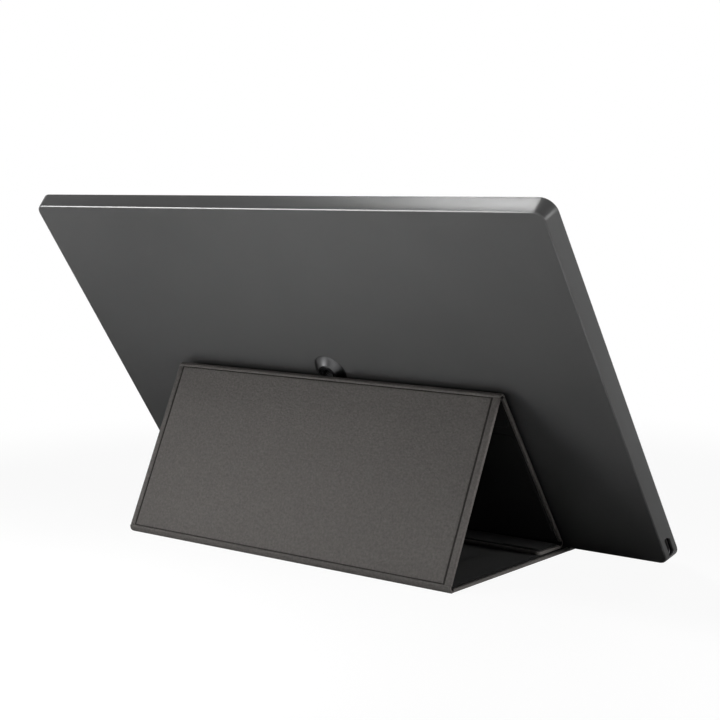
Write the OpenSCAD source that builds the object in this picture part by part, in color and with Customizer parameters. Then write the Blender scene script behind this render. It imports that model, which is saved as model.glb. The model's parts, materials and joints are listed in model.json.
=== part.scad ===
// Portable monitor leaning on its folded cover.
// The screen faces -Y, the back of the monitor faces +Y, +Z is up, and all sizes are millimetres.
// The cover is one fold-flat sheet of four stiff panels: base, back panel, riser and flap.

/* [Monitor casing] */
// Width of the casing at its front rim
monitor_w = 358.7; // [300:0.1:440]
// Height of the casing at its front rim
monitor_h = 226.2; // [190:0.1:280]
// Thickness from the front rim to the back face
monitor_t = 8.8; // [8.4:0.1:12]
// How far the back face is set in from the front rim on every side
edge_inset = 2.6; // [1:0.1:4]
// Corner radius of the front rim
corner_r = 8; // [6:0.5:12]
// Rounding between the side band and the back face
back_round = 0.7; // [0.3:0.1:1]
// Wall thickness of the rear shell
wall_t = 1.2; // [1:0.1:1.8]
// How far the casing leans back from upright, in degrees
tilt = 32.5; // [20:0.5:45]

/* [Screen] */
// Border of the casing on both sides of the lit area
side_border = 7.25; // [7:0.05:12]
// Border of the casing above the lit area
top_border = 7.6; // [7:0.1:12]
// Border of the casing below the lit area
lower_border = 25; // [22:0.5:35]
// Thickness of the front frame
frame_t = 1; // [0.8:0.1:1.4]
// How far the glass runs past the lit area at the sides and top
glass_margin = 2.2; // [1.5:0.1:3]
// How far the glass runs past the lit area at its lower ledge
glass_ledge = 6.5; // [4:0.1:8]
// Thickness of the liquid crystal cell
cell_t = 1; // [0.8:0.1:1.4]
// Thickness of the film stack
film_t = 0.4; // [0.3:0.1:0.6]
// Thickness of the light guide
guide_t = 0.6; // [0.5:0.1:0.9]
// Sheet thickness of the panel chassis
chassis_t = 0.3; // [0.3:0.1:0.5]

/* [Tripod socket] */
// Height of the socket's centre above the lower back edge, along the back
socket_s = 113.1; // [105:0.1:130]
// Radius of the cone where it leaves the back
cone_base_r = 10.4; // [9:0.1:14]
// Radius of the cone's end face
cone_end_r = 5.6; // [4.5:0.1:7]
// How far the cone stands out from the back
cone_h = 3.2; // [2:0.1:4]
// Wall radius of the threaded hole, for a quarter inch camera screw
socket_r = 2.55; // [2.5:0.01:2.6]
// Depth of the threaded hole
socket_depth = 5.8; // [5:0.1:6]

/* [Sockets and buttons] */
// Height of the video socket's centre above the lower back edge
video_s = 9.4; // [9:0.1:20]
// Depth of the video socket's centre behind the back face
video_depth = 4.4; // [4:0.1:4.6]
// Height of the lower power and data socket's centre
usb_low_s = 24; // [20:0.5:30]
// Distance between the two power and data sockets
usb_pitch = 16; // [14:0.5:20]
// Depth of the power and data sockets and the buttons behind the back face
side_depth = 3.1; // [3:0.1:3.2]
// Height of the power button's centre
power_s = 60; // [58:0.5:66]
// Height of the menu button's centre
menu_s = 74; // [72:0.5:80]
// Height of the rocker's centre
rocker_s = 93; // [91:0.5:100]
// Length of the power and menu buttons
button_len = 8; // [6:0.5:9]
// Length of the rocker
rocker_len = 18; // [14:0.5:20]
// Width of the buttons across the side band
button_w = 2; // [1.6:0.1:2.2]
// How far the buttons stand out from the side band
button_proud = 0.6; // [0.4:0.1:0.8]
// Travel of the power and menu buttons
button_travel = 0.5; // [0.3:0.1:0.6]

/* [Cover] */
// Width of the cover sheet, along the monitor's width
cover_w = 230.4; // [200:0.1:260]
// How far the cover stands off the monitor's centre line
cover_shift = -2.3; // [-20:0.1:20]
// Thickness of a panel
panel_t = 2.4; // [2.2:0.1:2.6]
// Thickness of the outer skin
skin_t = 0.7; // [0.6:0.1:0.8]
// Thickness of the inner lining
lining_t = 0.6; // [0.5:0.1:0.7]
// Height of the raised fields on the lining's end bands
pad_h = 0.5; // [0.3:0.1:0.6]
// Rounding of the skin where it folds from panel to panel
fold_r = 2.9; // [2.8:0.1:3.6]
// Height of the ridge above the lower back edge, along the back
ridge_s = 110.7; // [100:0.1:118]
// How far the back panel leans from upright, in degrees
back_lean = 25.8; // [20:0.1:32]
// Depth of the flap from the foot fold to its free edge
flap_len = 20; // [15:0.5:30]
// How far the base runs in front of the monitor's lower back edge
front_margin = 8; // [4:0.5:12]
// Thickness of the base's soft front margin
margin_t = 1; // [0.8:0.1:1.2]
// Height of the hinge line across the riser above the lower back edge
groove_s = 88.5; // [80:0.1:92]
// Width of the end bands that hold the magnets
band_w = 27; // [20:0.5:34]
// Distance from a panel's edge to its raised fields
pad_inset = 2.4; // [1.5:0.1:4]

/* [Clearances] */
// Gap between pieces that are assembled together
fit_gap = 0.1; // [0.05:0.01:0.15]
// Gap between pieces that rest on each other but come apart
rest_gap = 0.3; // [0.2:0.05:0.4]
// Gap round a moving button
slot_gap = 0.25; // [0.15:0.05:0.3]

/* [Hidden] */

eps = 0.01;
arc_fn = 48;
// Small bevel on the front rim
rim_bevel = 0.25;

// Colours
shell_grey = [0.29, 0.29, 0.29];
frame_black = [0.06, 0.06, 0.065];
screen_black = [0.03, 0.03, 0.035];
film_white = [0.85, 0.86, 0.88];
steel_grey = [0.62, 0.63, 0.65];
board_green = [0.05, 0.2, 0.12];
chip_black = [0.08, 0.08, 0.08];
cable_amber = [0.55, 0.35, 0.12];
metal_bright = [0.42, 0.42, 0.43];
button_grey = [0.2, 0.2, 0.2];
leather_grey = [0.35, 0.34, 0.33];
lining_grey = [0.16, 0.16, 0.16];
board_grey = [0.3, 0.28, 0.26];
magnet_grey = [0.45, 0.45, 0.47];

// ---- Where everything stands, in the side view (y towards the rear, z up) ----
// The monitor's lower back edge rests on the base's soft front margin.
edge_z = margin_t + rest_gap;
// Gap between the monitor's back and the riser, which leans on the tripod cone.
lean_gap = cone_h + rest_gap;
// Reach of the whole object, from the casing's lower front edge to its rounded upper back edge.
front_y = -monitor_t * cos(tilt) - (edge_inset - rim_bevel) * sin(tilt);
round_y = 0.3 * back_round;
rear_y = (monitor_h - edge_inset - inset_at(-round_y) - round_y) * sin(tilt) - round_y * cos(tilt);
centre_y = (front_y + rear_y) / 2;

// Ridge: the riser's upper end, the centre of the fold and the back panel's upper end.
ridge_y = ridge_s * sin(tilt) + lean_gap * cos(tilt);
ridge_z = edge_z + ridge_s * cos(tilt) - lean_gap * sin(tilt);
ridge_oy = ridge_y + fold_r * cos(tilt);
ridge_oz = ridge_z - fold_r * sin(tilt);
back_top_y = ridge_oy + fold_r * cos(back_lean);
back_top_z = ridge_oz + fold_r * sin(back_lean);
// Rear fold: the back panel runs down until the fold can turn flat onto the table.
back_len = (back_top_z - fold_r * (1 + sin(back_lean))) / cos(back_lean);
rear_oy = back_top_y + back_len * sin(back_lean) - fold_r * cos(back_lean);
back_low_y = rear_oy + fold_r * cos(back_lean);
back_low_z = fold_r + fold_r * sin(back_lean);
// Foot fold: the riser runs down until the fold can turn onto the flap, which lies on the base.
flap_z = panel_t + pad_h + rest_gap;
foot_turn = 90 + tilt;
foot_corner_s = (flap_z - edge_z + lean_gap * sin(tilt)) / cos(tilt);
foot_tangent = fold_r * tan(foot_turn / 2);
riser_low_s = foot_corner_s + foot_tangent;
riser_len = ridge_s - riser_low_s;
foot_oy = foot_corner_s * sin(tilt) + lean_gap * cos(tilt) + foot_tangent;
foot_oz = flap_z + fold_r;
// Base: full thickness up to the monitor's back, then the soft margin.
base_step_y = (panel_t + pad_h - edge_z) * tan(tilt) + 2 * rest_gap;
base_len = rear_oy - base_step_y;
margin_len = front_margin + base_step_y;

ridge_turn = 180 - tilt - back_lean;
rear_turn = 90 + back_lean;

// ---- Placing ----
// Moves the side view so that the origin is at the middle of the object's footprint.
module in_place() {
  translate([0, -centre_y, 0]) children();
}

// Casing frame: x across, y out of the back (0 on the back face), z up along the back
// from the lower back edge.
module on_monitor() {
  in_place() translate([0, 0, edge_z]) rotate([-tilt, 0, 0]) children();
}

// Panel frames: x across, y along the sheet in the order base, back panel, riser, flap,
// z from the outer skin to the lining.
module on_base() {
  in_place() translate([cover_shift, base_step_y, 0]) children();
}
module on_back() {
  in_place() translate([cover_shift, back_low_y, back_low_z]) rotate([90 + back_lean, 0, 0]) children();
}
module on_riser() {
  in_place() translate([cover_shift, ridge_y, ridge_z]) rotate([270 - tilt, 0, 0]) children();
}
module on_flap() {
  in_place() translate([cover_shift, foot_oy, flap_z]) children();
}

// ---- Shared shapes ----
// Rectangle with round corners, centred on x and standing on y = 0.
module round_rect(w, h, r) {
  translate([-w / 2 + r, 0]) square([w - 2 * r, h]);
  translate([-w / 2, r]) square([w, h - 2 * r]);
  for (x = [-w / 2 + r, w / 2 - r], y = [r, h - r]) translate([x, y]) circle(r, $fn = arc_fn);
}

// Plate in the casing frame, from depth y0 to y1, with its lower edge at z0.
module casing_plate(w, h, r, y0, y1, z0) {
  translate([0, y1, z0]) rotate([90, 0, 0]) linear_extrude(y1 - y0) round_rect(w, h, r);
}

// How far the casing's outline is set in at a depth y, 0 at the back face.
function inset_at(y) = edge_inset * (1 + y / monitor_t);

// Thin slice of the casing's outline at depth y, set in by a further amount.
module outline_slice(y, extra) {
  inset = inset_at(y) + extra;
  translate([0, y + eps / 2, inset - edge_inset]) rotate([90, 0, 0]) linear_extrude(eps)
    round_rect(monitor_w - 2 * inset, monitor_h - 2 * inset, max(corner_r - inset, 1));
}

// Slot with round ends that runs through the side band, long side upright.
slot_reach = 6;
module side_slot(s, depth, len, w, side) {
  translate([side * monitor_w / 2, -depth, s]) rotate([0, 90, 0])
    linear_extrude(2 * slot_reach, center = true) stadium(len, w);
}
module stadium(len, w) {
  square([len - w, w], center = true);
  for (x = [-1, 1]) translate([x * (len - w) / 2, 0]) circle(d = w, $fn = 32);
}

// Sloping outer face of the side bands at a depth y.
function band_x(y) = monitor_w / 2 - inset_at(y);
band_slope = atan(edge_inset / monitor_t);

// ---- Casing ----
screen_w = monitor_w - 2 * side_border;
screen_h = monitor_h - top_border - lower_border;
screen_s = lower_border - edge_inset;              // lower edge of the lit area
cell_y = -monitor_t + frame_t + fit_gap;           // front of the glass
film_y = cell_y + cell_t + fit_gap;
guide_y = film_y + film_t + fit_gap;
chassis_y = guide_y + guide_t + fit_gap;
chassis_back_y = chassis_y + chassis_t;
cell_w = screen_w + 2 * glass_margin;
cell_s = screen_s - glass_ledge;
cell_h = screen_h + glass_ledge + glass_margin;
chassis_w = cell_w + 2 * (fit_gap + chassis_t);

// Sockets, whose middles lie on the back of the circuit boards, and their mouths in the side bands
video_w = 11.2;
video_t = 3.2;
video_slot = 4.4;
video_reach = 9;
usb_w = 8.9;
usb_t = 3.2;
usb_slot_gap = 0.2;
usb_reach = 9;
usb_places = [usb_low_s, usb_low_s + usb_pitch];
light_s = (power_s + usb_low_s + usb_pitch) / 2;
light_len = 2.4;
light_w = 1;
// Distance from the casing's side to the mouth of each socket, just behind the wall
video_front_x = inset_at(-video_depth) + wall_t + 0.7;
usb_front_x = inset_at(-side_depth) + wall_t + 0.4;

// Circuit boards, placed from the casing's sides
board_t = 1;
board_back_y = -side_depth;
board_y = board_back_y - board_t;
board_side_in = 9.35;
main_board_w = 134;
main_board_h = 56;
main_board_s = 2.6;
main_board_left = -monitor_w / 2 + board_side_in;
main_board_right = main_board_left + main_board_w;
port_board_w = 40;
port_board_h = 94;
port_board_s = 14;
port_board_right = monitor_w / 2 - board_side_in;
port_board_left = port_board_right - port_board_w;
// Screw holes, from the lower left corner of each board
main_holes = [[10, 23.4], [128, 5.4], [128, 49.4], [10, 49.4]];
port_holes = [[8, 6], [8, 86], [30, 36]];
main_posts = [for (h = main_holes) [main_board_left + h[0], main_board_s + h[1]]];
port_posts = [for (h = port_holes) [port_board_left + h[0], port_board_s + h[1]]];
post_r = 2.4;
screw_r = 0.8;
screw_head_r = 1.6;
screw_play = 0.2;

// Tripod insert
insert_screw_ring = 9;
insert_flange_r = 12;
insert_flange_t = 1;
insert_body_r = 6;
insert_shaft_r = 4.6;
insert_floor = 0.9;
insert_screw_angles = [90, 210, 330];

// Ribs behind the panel chassis, at the same distances from both sides of the casing
rib_t = 3;
rib_in = [29, 57, 119];
rib_x = concat([for (d = rib_in) -monitor_w / 2 + d], [for (d = rib_in) monitor_w / 2 - d]);
rib_low = port_board_s + port_board_h + 4;
rib_top = cell_s + cell_h - 4;
cross_rib_h = 1.6;
cross_rib_t = 1.2;
cross_rib_pitch = 40;
// Heights of the short ribs across them
cross_rib_places = [for (s = rib_top - cross_rib_pitch; s > rib_low; s = s - cross_rib_pitch) s];
tape_t = 0.2;

module rear_shell() {
  color(shell_grey) on_monitor() {
    difference() {
      shell_outside();
      shell_inside();
      shell_openings();
    }
    shell_ribs();
    for (p = concat(main_posts, port_posts)) shell_post(p);
  }
}

module shell_outside() {
  hull() {
    outline_slice(-monitor_t + eps / 2, rim_bevel);
    outline_slice(-monitor_t + rim_bevel, 0);
    outline_slice(-back_round, 0);
    outline_slice(-round_y, round_y);
    outline_slice(-eps / 2, back_round);
  }
}

module shell_inside() {
  hull() {
    outline_slice(-monitor_t - 1, wall_t);
    outline_slice(-wall_t, wall_t);
  }
}

module shell_openings() {
  // Shaft of the tripod insert
  translate([0, 0, socket_s]) rotate([90, 0, 0])
    cylinder(h = 4 * wall_t, r = insert_shaft_r + fit_gap, center = true, $fn = 64);
  side_slot(video_s, video_depth, video_w, video_slot, -1);
  for (s = usb_places) side_slot(s, side_depth, usb_w + 2 * usb_slot_gap, usb_t + 2 * usb_slot_gap, 1);
  for (s = [power_s, menu_s]) side_slot(s, side_depth, button_len + 2 * slot_gap, button_w + 2 * slot_gap, 1);
  side_slot(rocker_s, side_depth, rocker_len + 2 * slot_gap, button_w + 2 * slot_gap, 1);
  side_slot(light_s, side_depth, light_len, light_w, 1);
}

// Ribs that stand the panel chassis off the back wall, clear of boards and insert.
module shell_ribs() {
  rib_h = -chassis_back_y - tape_t - wall_t;
  for (x = rib_x)
    translate([x - rib_t / 2, -wall_t - rib_h, rib_low]) cube([rib_t, rib_h + eps, rib_top - rib_low]);
  cross_rib_w = rib_in[2] - rib_in[0];
  for (s = cross_rib_places, x = [rib_x[0], rib_x[5]])
    translate([x, -wall_t - cross_rib_h, s])
      cube([cross_rib_w, cross_rib_h + eps, cross_rib_t]);
}

// Post that carries a circuit board and takes its screw.
module shell_post(p) {
  translate([p[0], -wall_t, p[1]]) rotate([90, 0, 0]) difference() {
    translate([0, 0, -eps]) cylinder(h = -board_back_y - wall_t - fit_gap + eps, r = post_r, $fn = 32);
    cylinder(h = -board_back_y, r = screw_r, $fn = 24);
  }
}

// Frame round the screen, set inside the shell's rim, with a stiffening skirt behind it.
skirt_h = 1.5;
skirt_t = 1;
window_gap = 0.5;
plate_inset = wall_t + fit_gap + inset_at(-monitor_t + frame_t);
skirt_inset = plate_inset + 0.5;
module front_frame() {
  color(frame_black) on_monitor() {
    difference() {
      casing_plate(monitor_w - 2 * plate_inset, monitor_h - 2 * plate_inset, corner_r - wall_t,
        -monitor_t, -monitor_t + frame_t, plate_inset - edge_inset);
      casing_plate(screen_w + 2 * window_gap, screen_h + 2 * window_gap, 1,
        -monitor_t - 1, -monitor_t + frame_t + 1, screen_s - window_gap);
    }
    difference() {
      casing_plate(monitor_w - 2 * skirt_inset, monitor_h - 2 * skirt_inset, corner_r - wall_t,
        -monitor_t + frame_t - eps, -monitor_t + frame_t + skirt_h, skirt_inset - edge_inset);
      casing_plate(monitor_w - 2 * (skirt_inset + skirt_t), monitor_h - 2 * (skirt_inset + skirt_t),
        corner_r - wall_t - skirt_t, -monitor_t, -monitor_t + frame_t + skirt_h + 1,
        skirt_inset + skirt_t - edge_inset);
    }
  }
}

// ---- Screen panel, front to back ----
// Two sheets of glass; the front one stops short of the lower ledge, where the driver chips sit.
ledge_bare = 4.5;
driver_len = 16;
driver_h = 1.4;
module lcd_cell() {
  color(screen_black) on_monitor() {
    casing_plate(cell_w, cell_h, 0.5, cell_y + cell_t / 2 - eps, cell_y + cell_t, cell_s);
    casing_plate(cell_w, cell_h - ledge_bare, 0.5, cell_y, cell_y + cell_t / 2, cell_s + ledge_bare);
    for (i = [-3:3])
      translate([i * cell_w / 8 - driver_len / 2, cell_y + fit_gap, cell_s + 1])
        cube([driver_len, cell_t / 2 - fit_gap + eps, driver_h]);
  }
}

module film_stack() {
  color(film_white) on_monitor()
    casing_plate(screen_w + 2, screen_h + 3, 0.5, film_y, film_y + film_t, screen_s - 1.5);
}

guide_low = cell_s + 3;
module light_guide() {
  color(film_white) on_monitor()
    casing_plate(screen_w + 3, cell_s + cell_h - 1 - guide_low, 0.5, guide_y, guide_y + guide_t, guide_low);
}

// Flexible strip of light-emitting diodes that shine up into the guide's lower edge.
led_pitch = 6;
led_w = 3;
led_h = 1.2;
led_strip_h = 1.2;
led_s = cell_s + 0.3;
led_count = floor(screen_w / led_pitch) - 3;
module led_bar() {
  color(film_white) on_monitor() {
    casing_plate(screen_w, led_strip_h, 0.3, guide_y, guide_y + guide_t, led_s);
    for (i = [0:led_count - 1])
      translate([(i - (led_count - 1) / 2) * led_pitch - led_w / 2, guide_y, led_s + led_strip_h - eps])
        cube([led_w, guide_t, led_h]);
  }
}

// Thin steel tray that holds the screen panel together.
module panel_chassis() {
  tray_h = cell_h + 2 * (fit_gap + chassis_t);
  tray_s = cell_s - fit_gap - chassis_t;
  color(steel_grey) on_monitor() difference() {
    casing_plate(chassis_w, tray_h, 0.8, cell_y + fit_gap, chassis_back_y, tray_s);
    casing_plate(chassis_w - 2 * chassis_t, tray_h - 2 * chassis_t, 0.5,
      cell_y - 1, chassis_y, tray_s + chassis_t);
  }
}

// Adhesive strips between the shell's ribs and the chassis.
module panel_tape() {
  color(frame_black) on_monitor()
    for (x = rib_x)
      translate([x - rib_t / 2, chassis_back_y, rib_low]) cube([rib_t, tape_t, rib_top - rib_low]);
}

// ---- Electronics ----
// The panel's own board, on the back of the chassis, with its row of connectors.
panel_board_h = 12;
panel_board_t = 0.7;
panel_board_right = port_board_left - 13;
boards_gap = 43;
panel_board_left = main_board_right + boards_gap;
panel_board_w = panel_board_right - panel_board_left;
panel_board_s = cell_s + 2.1;
panel_board_y = chassis_back_y + 0.05;
plug_s = panel_board_s + 3;
plug_w = 8;
plug_h = 5;
plug_pitch = 20;
// The row of connectors stays clear of the cable's end on the board.
panel_cable_lap = 8;
plug_row_w = panel_board_w - 2 * panel_cable_lap;
plug_count = 1 + floor((plug_row_w - plug_w) / plug_pitch);
module panel_board() {
  middle = (panel_board_left + panel_board_right) / 2;
  color(board_green) on_monitor() {
    casing_plate_from(panel_board_left, panel_board_w, panel_board_h, 0.5,
      panel_board_y, panel_board_y + panel_board_t, panel_board_s);
    for (i = [0:plug_count - 1]) {
      plug_x = middle + (i - (plug_count - 1) / 2) * plug_pitch - plug_w / 2;
      translate([plug_x, panel_board_y + panel_board_t - eps, plug_s]) cube([plug_w, panel_board_t, plug_h]);
    }
  }
}

// Plate in the casing frame whose left edge lies at x.
module casing_plate_from(x, w, h, r, y0, y1, z0) {
  translate([x + w / 2, 0, 0]) casing_plate(w, h, r, y0, y1, z0);
}

// Flat cables from the main board to the panel's board and to the port board.
cable_t = 0.15;
cable_start = main_board_right + fit_gap;
cable_y = board_y + board_t / 2;
// This one steps down from the main board's edge to the back of the panel's board.
panel_cable_s = panel_board_s + 1;
panel_cable_w = 9;
panel_cable_step = 4;
module panel_cable() {
  low_y = panel_board_y + panel_board_t + 0.05;
  color(cable_amber) on_monitor() {
    translate([cable_start, cable_y, panel_cable_s]) cube([panel_cable_step, cable_t, panel_cable_w]);
    translate([cable_start + panel_cable_step - cable_t, low_y, panel_cable_s])
      cube([cable_t, cable_y + cable_t - low_y, panel_cable_w]);
    translate([cable_start + panel_cable_step - cable_t, low_y, panel_cable_s])
      cube([panel_board_left + panel_cable_lap - cable_start - panel_cable_step, cable_t, panel_cable_w]);
  }
}

link_cable_s = 36;
link_cable_w = 10;
module link_cable() {
  color(cable_amber) on_monitor() translate([cable_start, cable_y, link_cable_s])
    cube([port_board_left - fit_gap - cable_start, cable_t, link_cable_w]);
}

// Circuit board with screw holes; its sockets are sunk into notches.
module main_board() {
  color(board_green) on_monitor() difference() {
    casing_plate_from(main_board_left, main_board_w, main_board_h, 1.5, board_y, board_back_y, main_board_s);
    board_holes(main_posts);
    translate([-monitor_w / 2, board_y - 1, video_s - video_w / 2 - fit_gap])
      cube([video_front_x + video_reach + fit_gap, board_t + 2, video_w + 2 * fit_gap]);
  }
}
module board_holes(places) {
  for (p = places) translate([p[0], board_back_y + 1, p[1]]) rotate([90, 0, 0])
    cylinder(h = board_t + 2, r = screw_r + screw_play, $fn = 24);
}

// Shield can, controller chips, coils and capacitors on the back of the main board.
part_gap = 0.02;
module main_board_chips() {
  on_monitor() translate([main_board_left, board_back_y + part_gap, main_board_s]) {
    color(steel_grey) translate([40, 0, 15.4]) shield_can(46, 30, 1.6);
    color(chip_black) {
      for (p = [[93, 14.4], [93, 30.4], [109, 22.4]]) translate([p[0], 0, p[1]]) cube([10, 1, 10]);
      for (i = [0:5]) translate([20 + i * 9, 0, 47.9]) cube([4, 1.4, 4]);
      for (i = [0:7]) translate([92 + i * 4, 0, 7.4]) cube([1.6, 0.8, 3]);
    }
  }
}
module shield_can(w, h, t) {
  wall = 0.3;
  difference() {
    cube([w, t, h]);
    translate([wall, -1, wall]) cube([w - 2 * wall, t - wall + 1, h - 2 * wall]);
  }
}

module port_board() {
  notch = usb_front_x + usb_reach + fit_gap;
  color(board_green) on_monitor() difference() {
    casing_plate_from(port_board_left, port_board_w, port_board_h, 1.5, board_y, board_back_y, port_board_s);
    board_holes(port_posts);
    for (s = usb_places) translate([monitor_w / 2 - notch, board_y - 1, s - usb_w / 2 - fit_gap])
      cube([notch, board_t + 2, usb_w + 2 * fit_gap]);
  }
}

// Sockets have a metal shell and a tongue inside it.
tongue_t = 0.7;
// Video socket, opening to -x.
module video_socket() {
  wall = 0.4;
  tongue_w = 0.74 * video_w;
  color(metal_bright) on_monitor() translate([-monitor_w / 2 + video_front_x, -video_depth, video_s])
    rotate([0, 90, 0]) {
      difference() {
        linear_extrude(video_reach) socket_outline(video_w, video_t, 1);
        translate([0, 0, -1]) linear_extrude(video_reach)
          socket_outline(video_w - 2 * wall, video_t - 2 * wall, 0.8);
      }
      translate([-tongue_w / 2, -tongue_t / 2, 0.5]) cube([tongue_w, tongue_t, video_reach - 1]);
    }
}
module socket_outline(len, w, r) {
  translate([0, -w / 2]) round_rect(len, w, r);
}

// Two oval power and data sockets, opening to +x.
module usb_sockets() {
  wall = 0.3;
  tongue_w = 0.74 * usb_w;
  color(metal_bright) on_monitor() for (s = usb_places)
    translate([monitor_w / 2 - usb_front_x, -side_depth, s]) rotate([0, -90, 0]) {
      difference() {
        linear_extrude(usb_reach) stadium(usb_w, usb_t);
        translate([0, 0, -1]) linear_extrude(usb_reach) stadium(usb_w - 2 * wall, usb_t - 2 * wall);
      }
      translate([-tongue_w / 2, -tongue_t / 2, 0.6]) cube([tongue_w, tongue_t, usb_reach - 1.2]);
    }
}

// ---- Tripod socket ----
// Cone that stands out of the back round the threaded insert.
module socket_cone() {
  bore = insert_shaft_r + 0.05;
  color(shell_grey) on_monitor() translate([0, 0, socket_s]) rotate([-90, 0, 0])
    rotate_extrude($fn = 96) polygon([
      [bore, 0.05], [cone_base_r, 0.05], [cone_base_r, 0.2],
      [cone_end_r + 0.15, cone_h - 0.15], [cone_end_r - 0.1, cone_h], [bore, cone_h]]);
}

// Metal insert with a blind thread, held behind the wall by its flange.
module tripod_insert() {
  flange_y = -wall_t - fit_gap;
  floor_y = cone_h - socket_depth - insert_floor;
  color(metal_bright) on_monitor() translate([0, 0, socket_s]) rotate([-90, 0, 0]) difference() {
    rotate_extrude($fn = 96) polygon([
      [0, floor_y], [insert_body_r, floor_y], [insert_body_r, flange_y - insert_flange_t],
      [insert_flange_r, flange_y - insert_flange_t], [insert_flange_r, flange_y],
      [insert_shaft_r, flange_y], [insert_shaft_r, cone_h - 0.4], [insert_shaft_r - 0.2, cone_h - 0.2],
      [0, cone_h - 0.2]]);
    translate([0, 0, cone_h - socket_depth]) cylinder(h = socket_depth + 1, r = socket_r, $fn = 64);
    for (a = insert_screw_angles) rotate([0, 0, a])
      translate([insert_screw_ring, 0, flange_y - insert_flange_t - 1])
        cylinder(h = insert_flange_t + 2, r = screw_r + screw_play, $fn = 24);
  }
}

module pan_screw(shank) {
  head_h = 0.65;
  cylinder(h = shank, r = screw_r - 0.05, $fn = 24);
  translate([0, 0, -head_h]) cylinder(h = head_h + eps, r = screw_head_r, $fn = 32);
}

// Screws that hold the insert's flange to the back wall.
module insert_screws() {
  head_y = -wall_t - fit_gap - insert_flange_t - part_gap;
  color(steel_grey) on_monitor() translate([0, 0, socket_s]) rotate([-90, 0, 0])
    for (a = insert_screw_angles) rotate([0, 0, a]) translate([insert_screw_ring, 0, head_y])
      pan_screw(insert_flange_t + fit_gap);
}

// Screws that hold both circuit boards to the shell's posts.
module board_screws() {
  color(steel_grey) on_monitor() for (p = concat(main_posts, port_posts))
    translate([p[0], board_y - part_gap, p[1]]) rotate([-90, 0, 0]) pan_screw(board_t + 1.5);
}

// ---- Magnets in the casing ----
// Bars behind the back wall, whose upper ends meet those at the riser's upper end.
magnet_w = 10;
magnet_t = 1.5;
cover_magnet_x = cover_w / 2 - band_w / 2;
back_magnet_len = 34;
module back_magnets() {
  low_s = ridge_s - riser_magnet_places[0][0] - back_magnet_len;
  color(magnet_grey) on_monitor() translate([cover_shift - magnet_w / 2, -wall_t - magnet_t - fit_gap, low_s])
    for (side = [-1, 1]) translate([side * cover_magnet_x, 0, 0]) cube([magnet_w, magnet_t, back_magnet_len]);
}

// Bar magnets under the frame's borders that hold the closed cover over the screen,
// two near the sides and two near the middle.
front_magnet_len = 50;
front_magnet_h = 7;
front_magnet_t = 2;
front_magnet_in = 49.35;
outer_magnet_x = monitor_w / 2 - front_magnet_in;
inner_magnet_x = 50;
front_magnet_places = [-outer_magnet_x, -inner_magnet_x, inner_magnet_x, outer_magnet_x];
module front_magnets() {
  y0 = -monitor_t + frame_t + fit_gap;
  side_wall = skirt_inset + skirt_t + fit_gap - edge_inset;
  lower_h = cell_s - chassis_t - 3 * fit_gap - side_wall;
  upper_s = cell_s + cell_h + chassis_t + 3 * fit_gap;
  upper_h = monitor_h - 2 * edge_inset - side_wall - upper_s;
  color(magnet_grey) on_monitor() for (x = front_magnet_places) translate([x - front_magnet_len / 2, y0, 0]) {
    translate([0, 0, side_wall]) cube([front_magnet_len, front_magnet_t, min(front_magnet_h, lower_h)]);
    translate([0, 0, upper_s]) cube([front_magnet_len, front_magnet_t, upper_h]);
  }
}

// ---- Buttons ----
// Each has a flange behind the wall and a stem that ends in front of its switch.
flange_x = band_x(-wall_t) - wall_t - rest_gap - fit_gap;
flange_t = 0.8;
flange_rim = 0.6;
stem_x = flange_x - flange_t - 0.5;

// Button with a stem through the slot, cut to the slope of the side band.
module side_button(s, len, flange_len) {
  on_monitor() {
    difference() {
      translate([stem_x, -side_depth, s]) rotate([0, 90, 0]) linear_extrude(8) stadium(len, button_w);
      translate([band_x(-side_depth) + button_proud, -side_depth, s - len]) rotate([0, 0, band_slope])
        translate([0, -10, 0]) cube([10, 20, 2 * len]);
    }
    translate([flange_x - flange_t, -side_depth, s]) rotate([0, 90, 0])
      linear_extrude(flange_t) stadium(flange_len, button_w + 2 * flange_rim);
  }
}
module power_button() {
  color(button_grey) side_button(power_s, button_len, button_len + 2 * flange_rim);
}
module menu_button() {
  color(button_grey) side_button(menu_s, button_len, button_len + 2 * flange_rim);
}
module rocker_button() {
  color(button_grey) side_button(rocker_s, rocker_len, rocker_len / 2);
}

// Switches on the edge of the port board behind the buttons, two of them behind the rocker.
rocker_dome_out = 0.36 * rocker_len;
dome_places = [power_s, menu_s, rocker_s - rocker_dome_out, rocker_s + rocker_dome_out];
switch_w = 3.6;
switch_h = 2.4;
plunger_r = 0.9;
plunger_len = 0.55;
module button_domes() {
  x0 = port_board_right + fit_gap;
  x1 = stem_x - button_travel - plunger_len - 0.15;
  color(steel_grey) on_monitor() for (s = dome_places) {
    translate([x0, -side_depth - switch_h / 2, s - switch_w / 2]) cube([x1 - x0, switch_h, switch_w]);
    translate([x1 - eps, -side_depth, s]) rotate([0, 90, 0])
      cylinder(h = plunger_len, r = plunger_r, $fn = 24);
  }
}

// Light guide of the status lamp, flush with the side band.
module status_light() {
  x0 = port_board_right + fit_gap;
  x1 = band_x(-side_depth);
  color(film_white) on_monitor() difference() {
    translate([x0, -side_depth, light_s]) rotate([0, 90, 0])
      linear_extrude(x1 - x0 + 1) stadium(light_len - 2 * fit_gap, light_w - 2 * fit_gap);
    translate([x1, -side_depth, light_s - light_len]) rotate([0, 0, band_slope])
      translate([0, -monitor_t, 0]) cube([monitor_t, 2 * monitor_t, 2 * light_len]);
  }
}

// ---- Cover ----
// Turned-up edge of the outer skin, and the corners of the sheet
lip_w = 0.8;
free_r = 3;
fold_corner_r = 0.5;
glue = 0.02;
board_z = skin_t + glue;
lining_z = panel_t - lining_t;
lining_in = 0.2;
crease_t = panel_t / 2;
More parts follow.
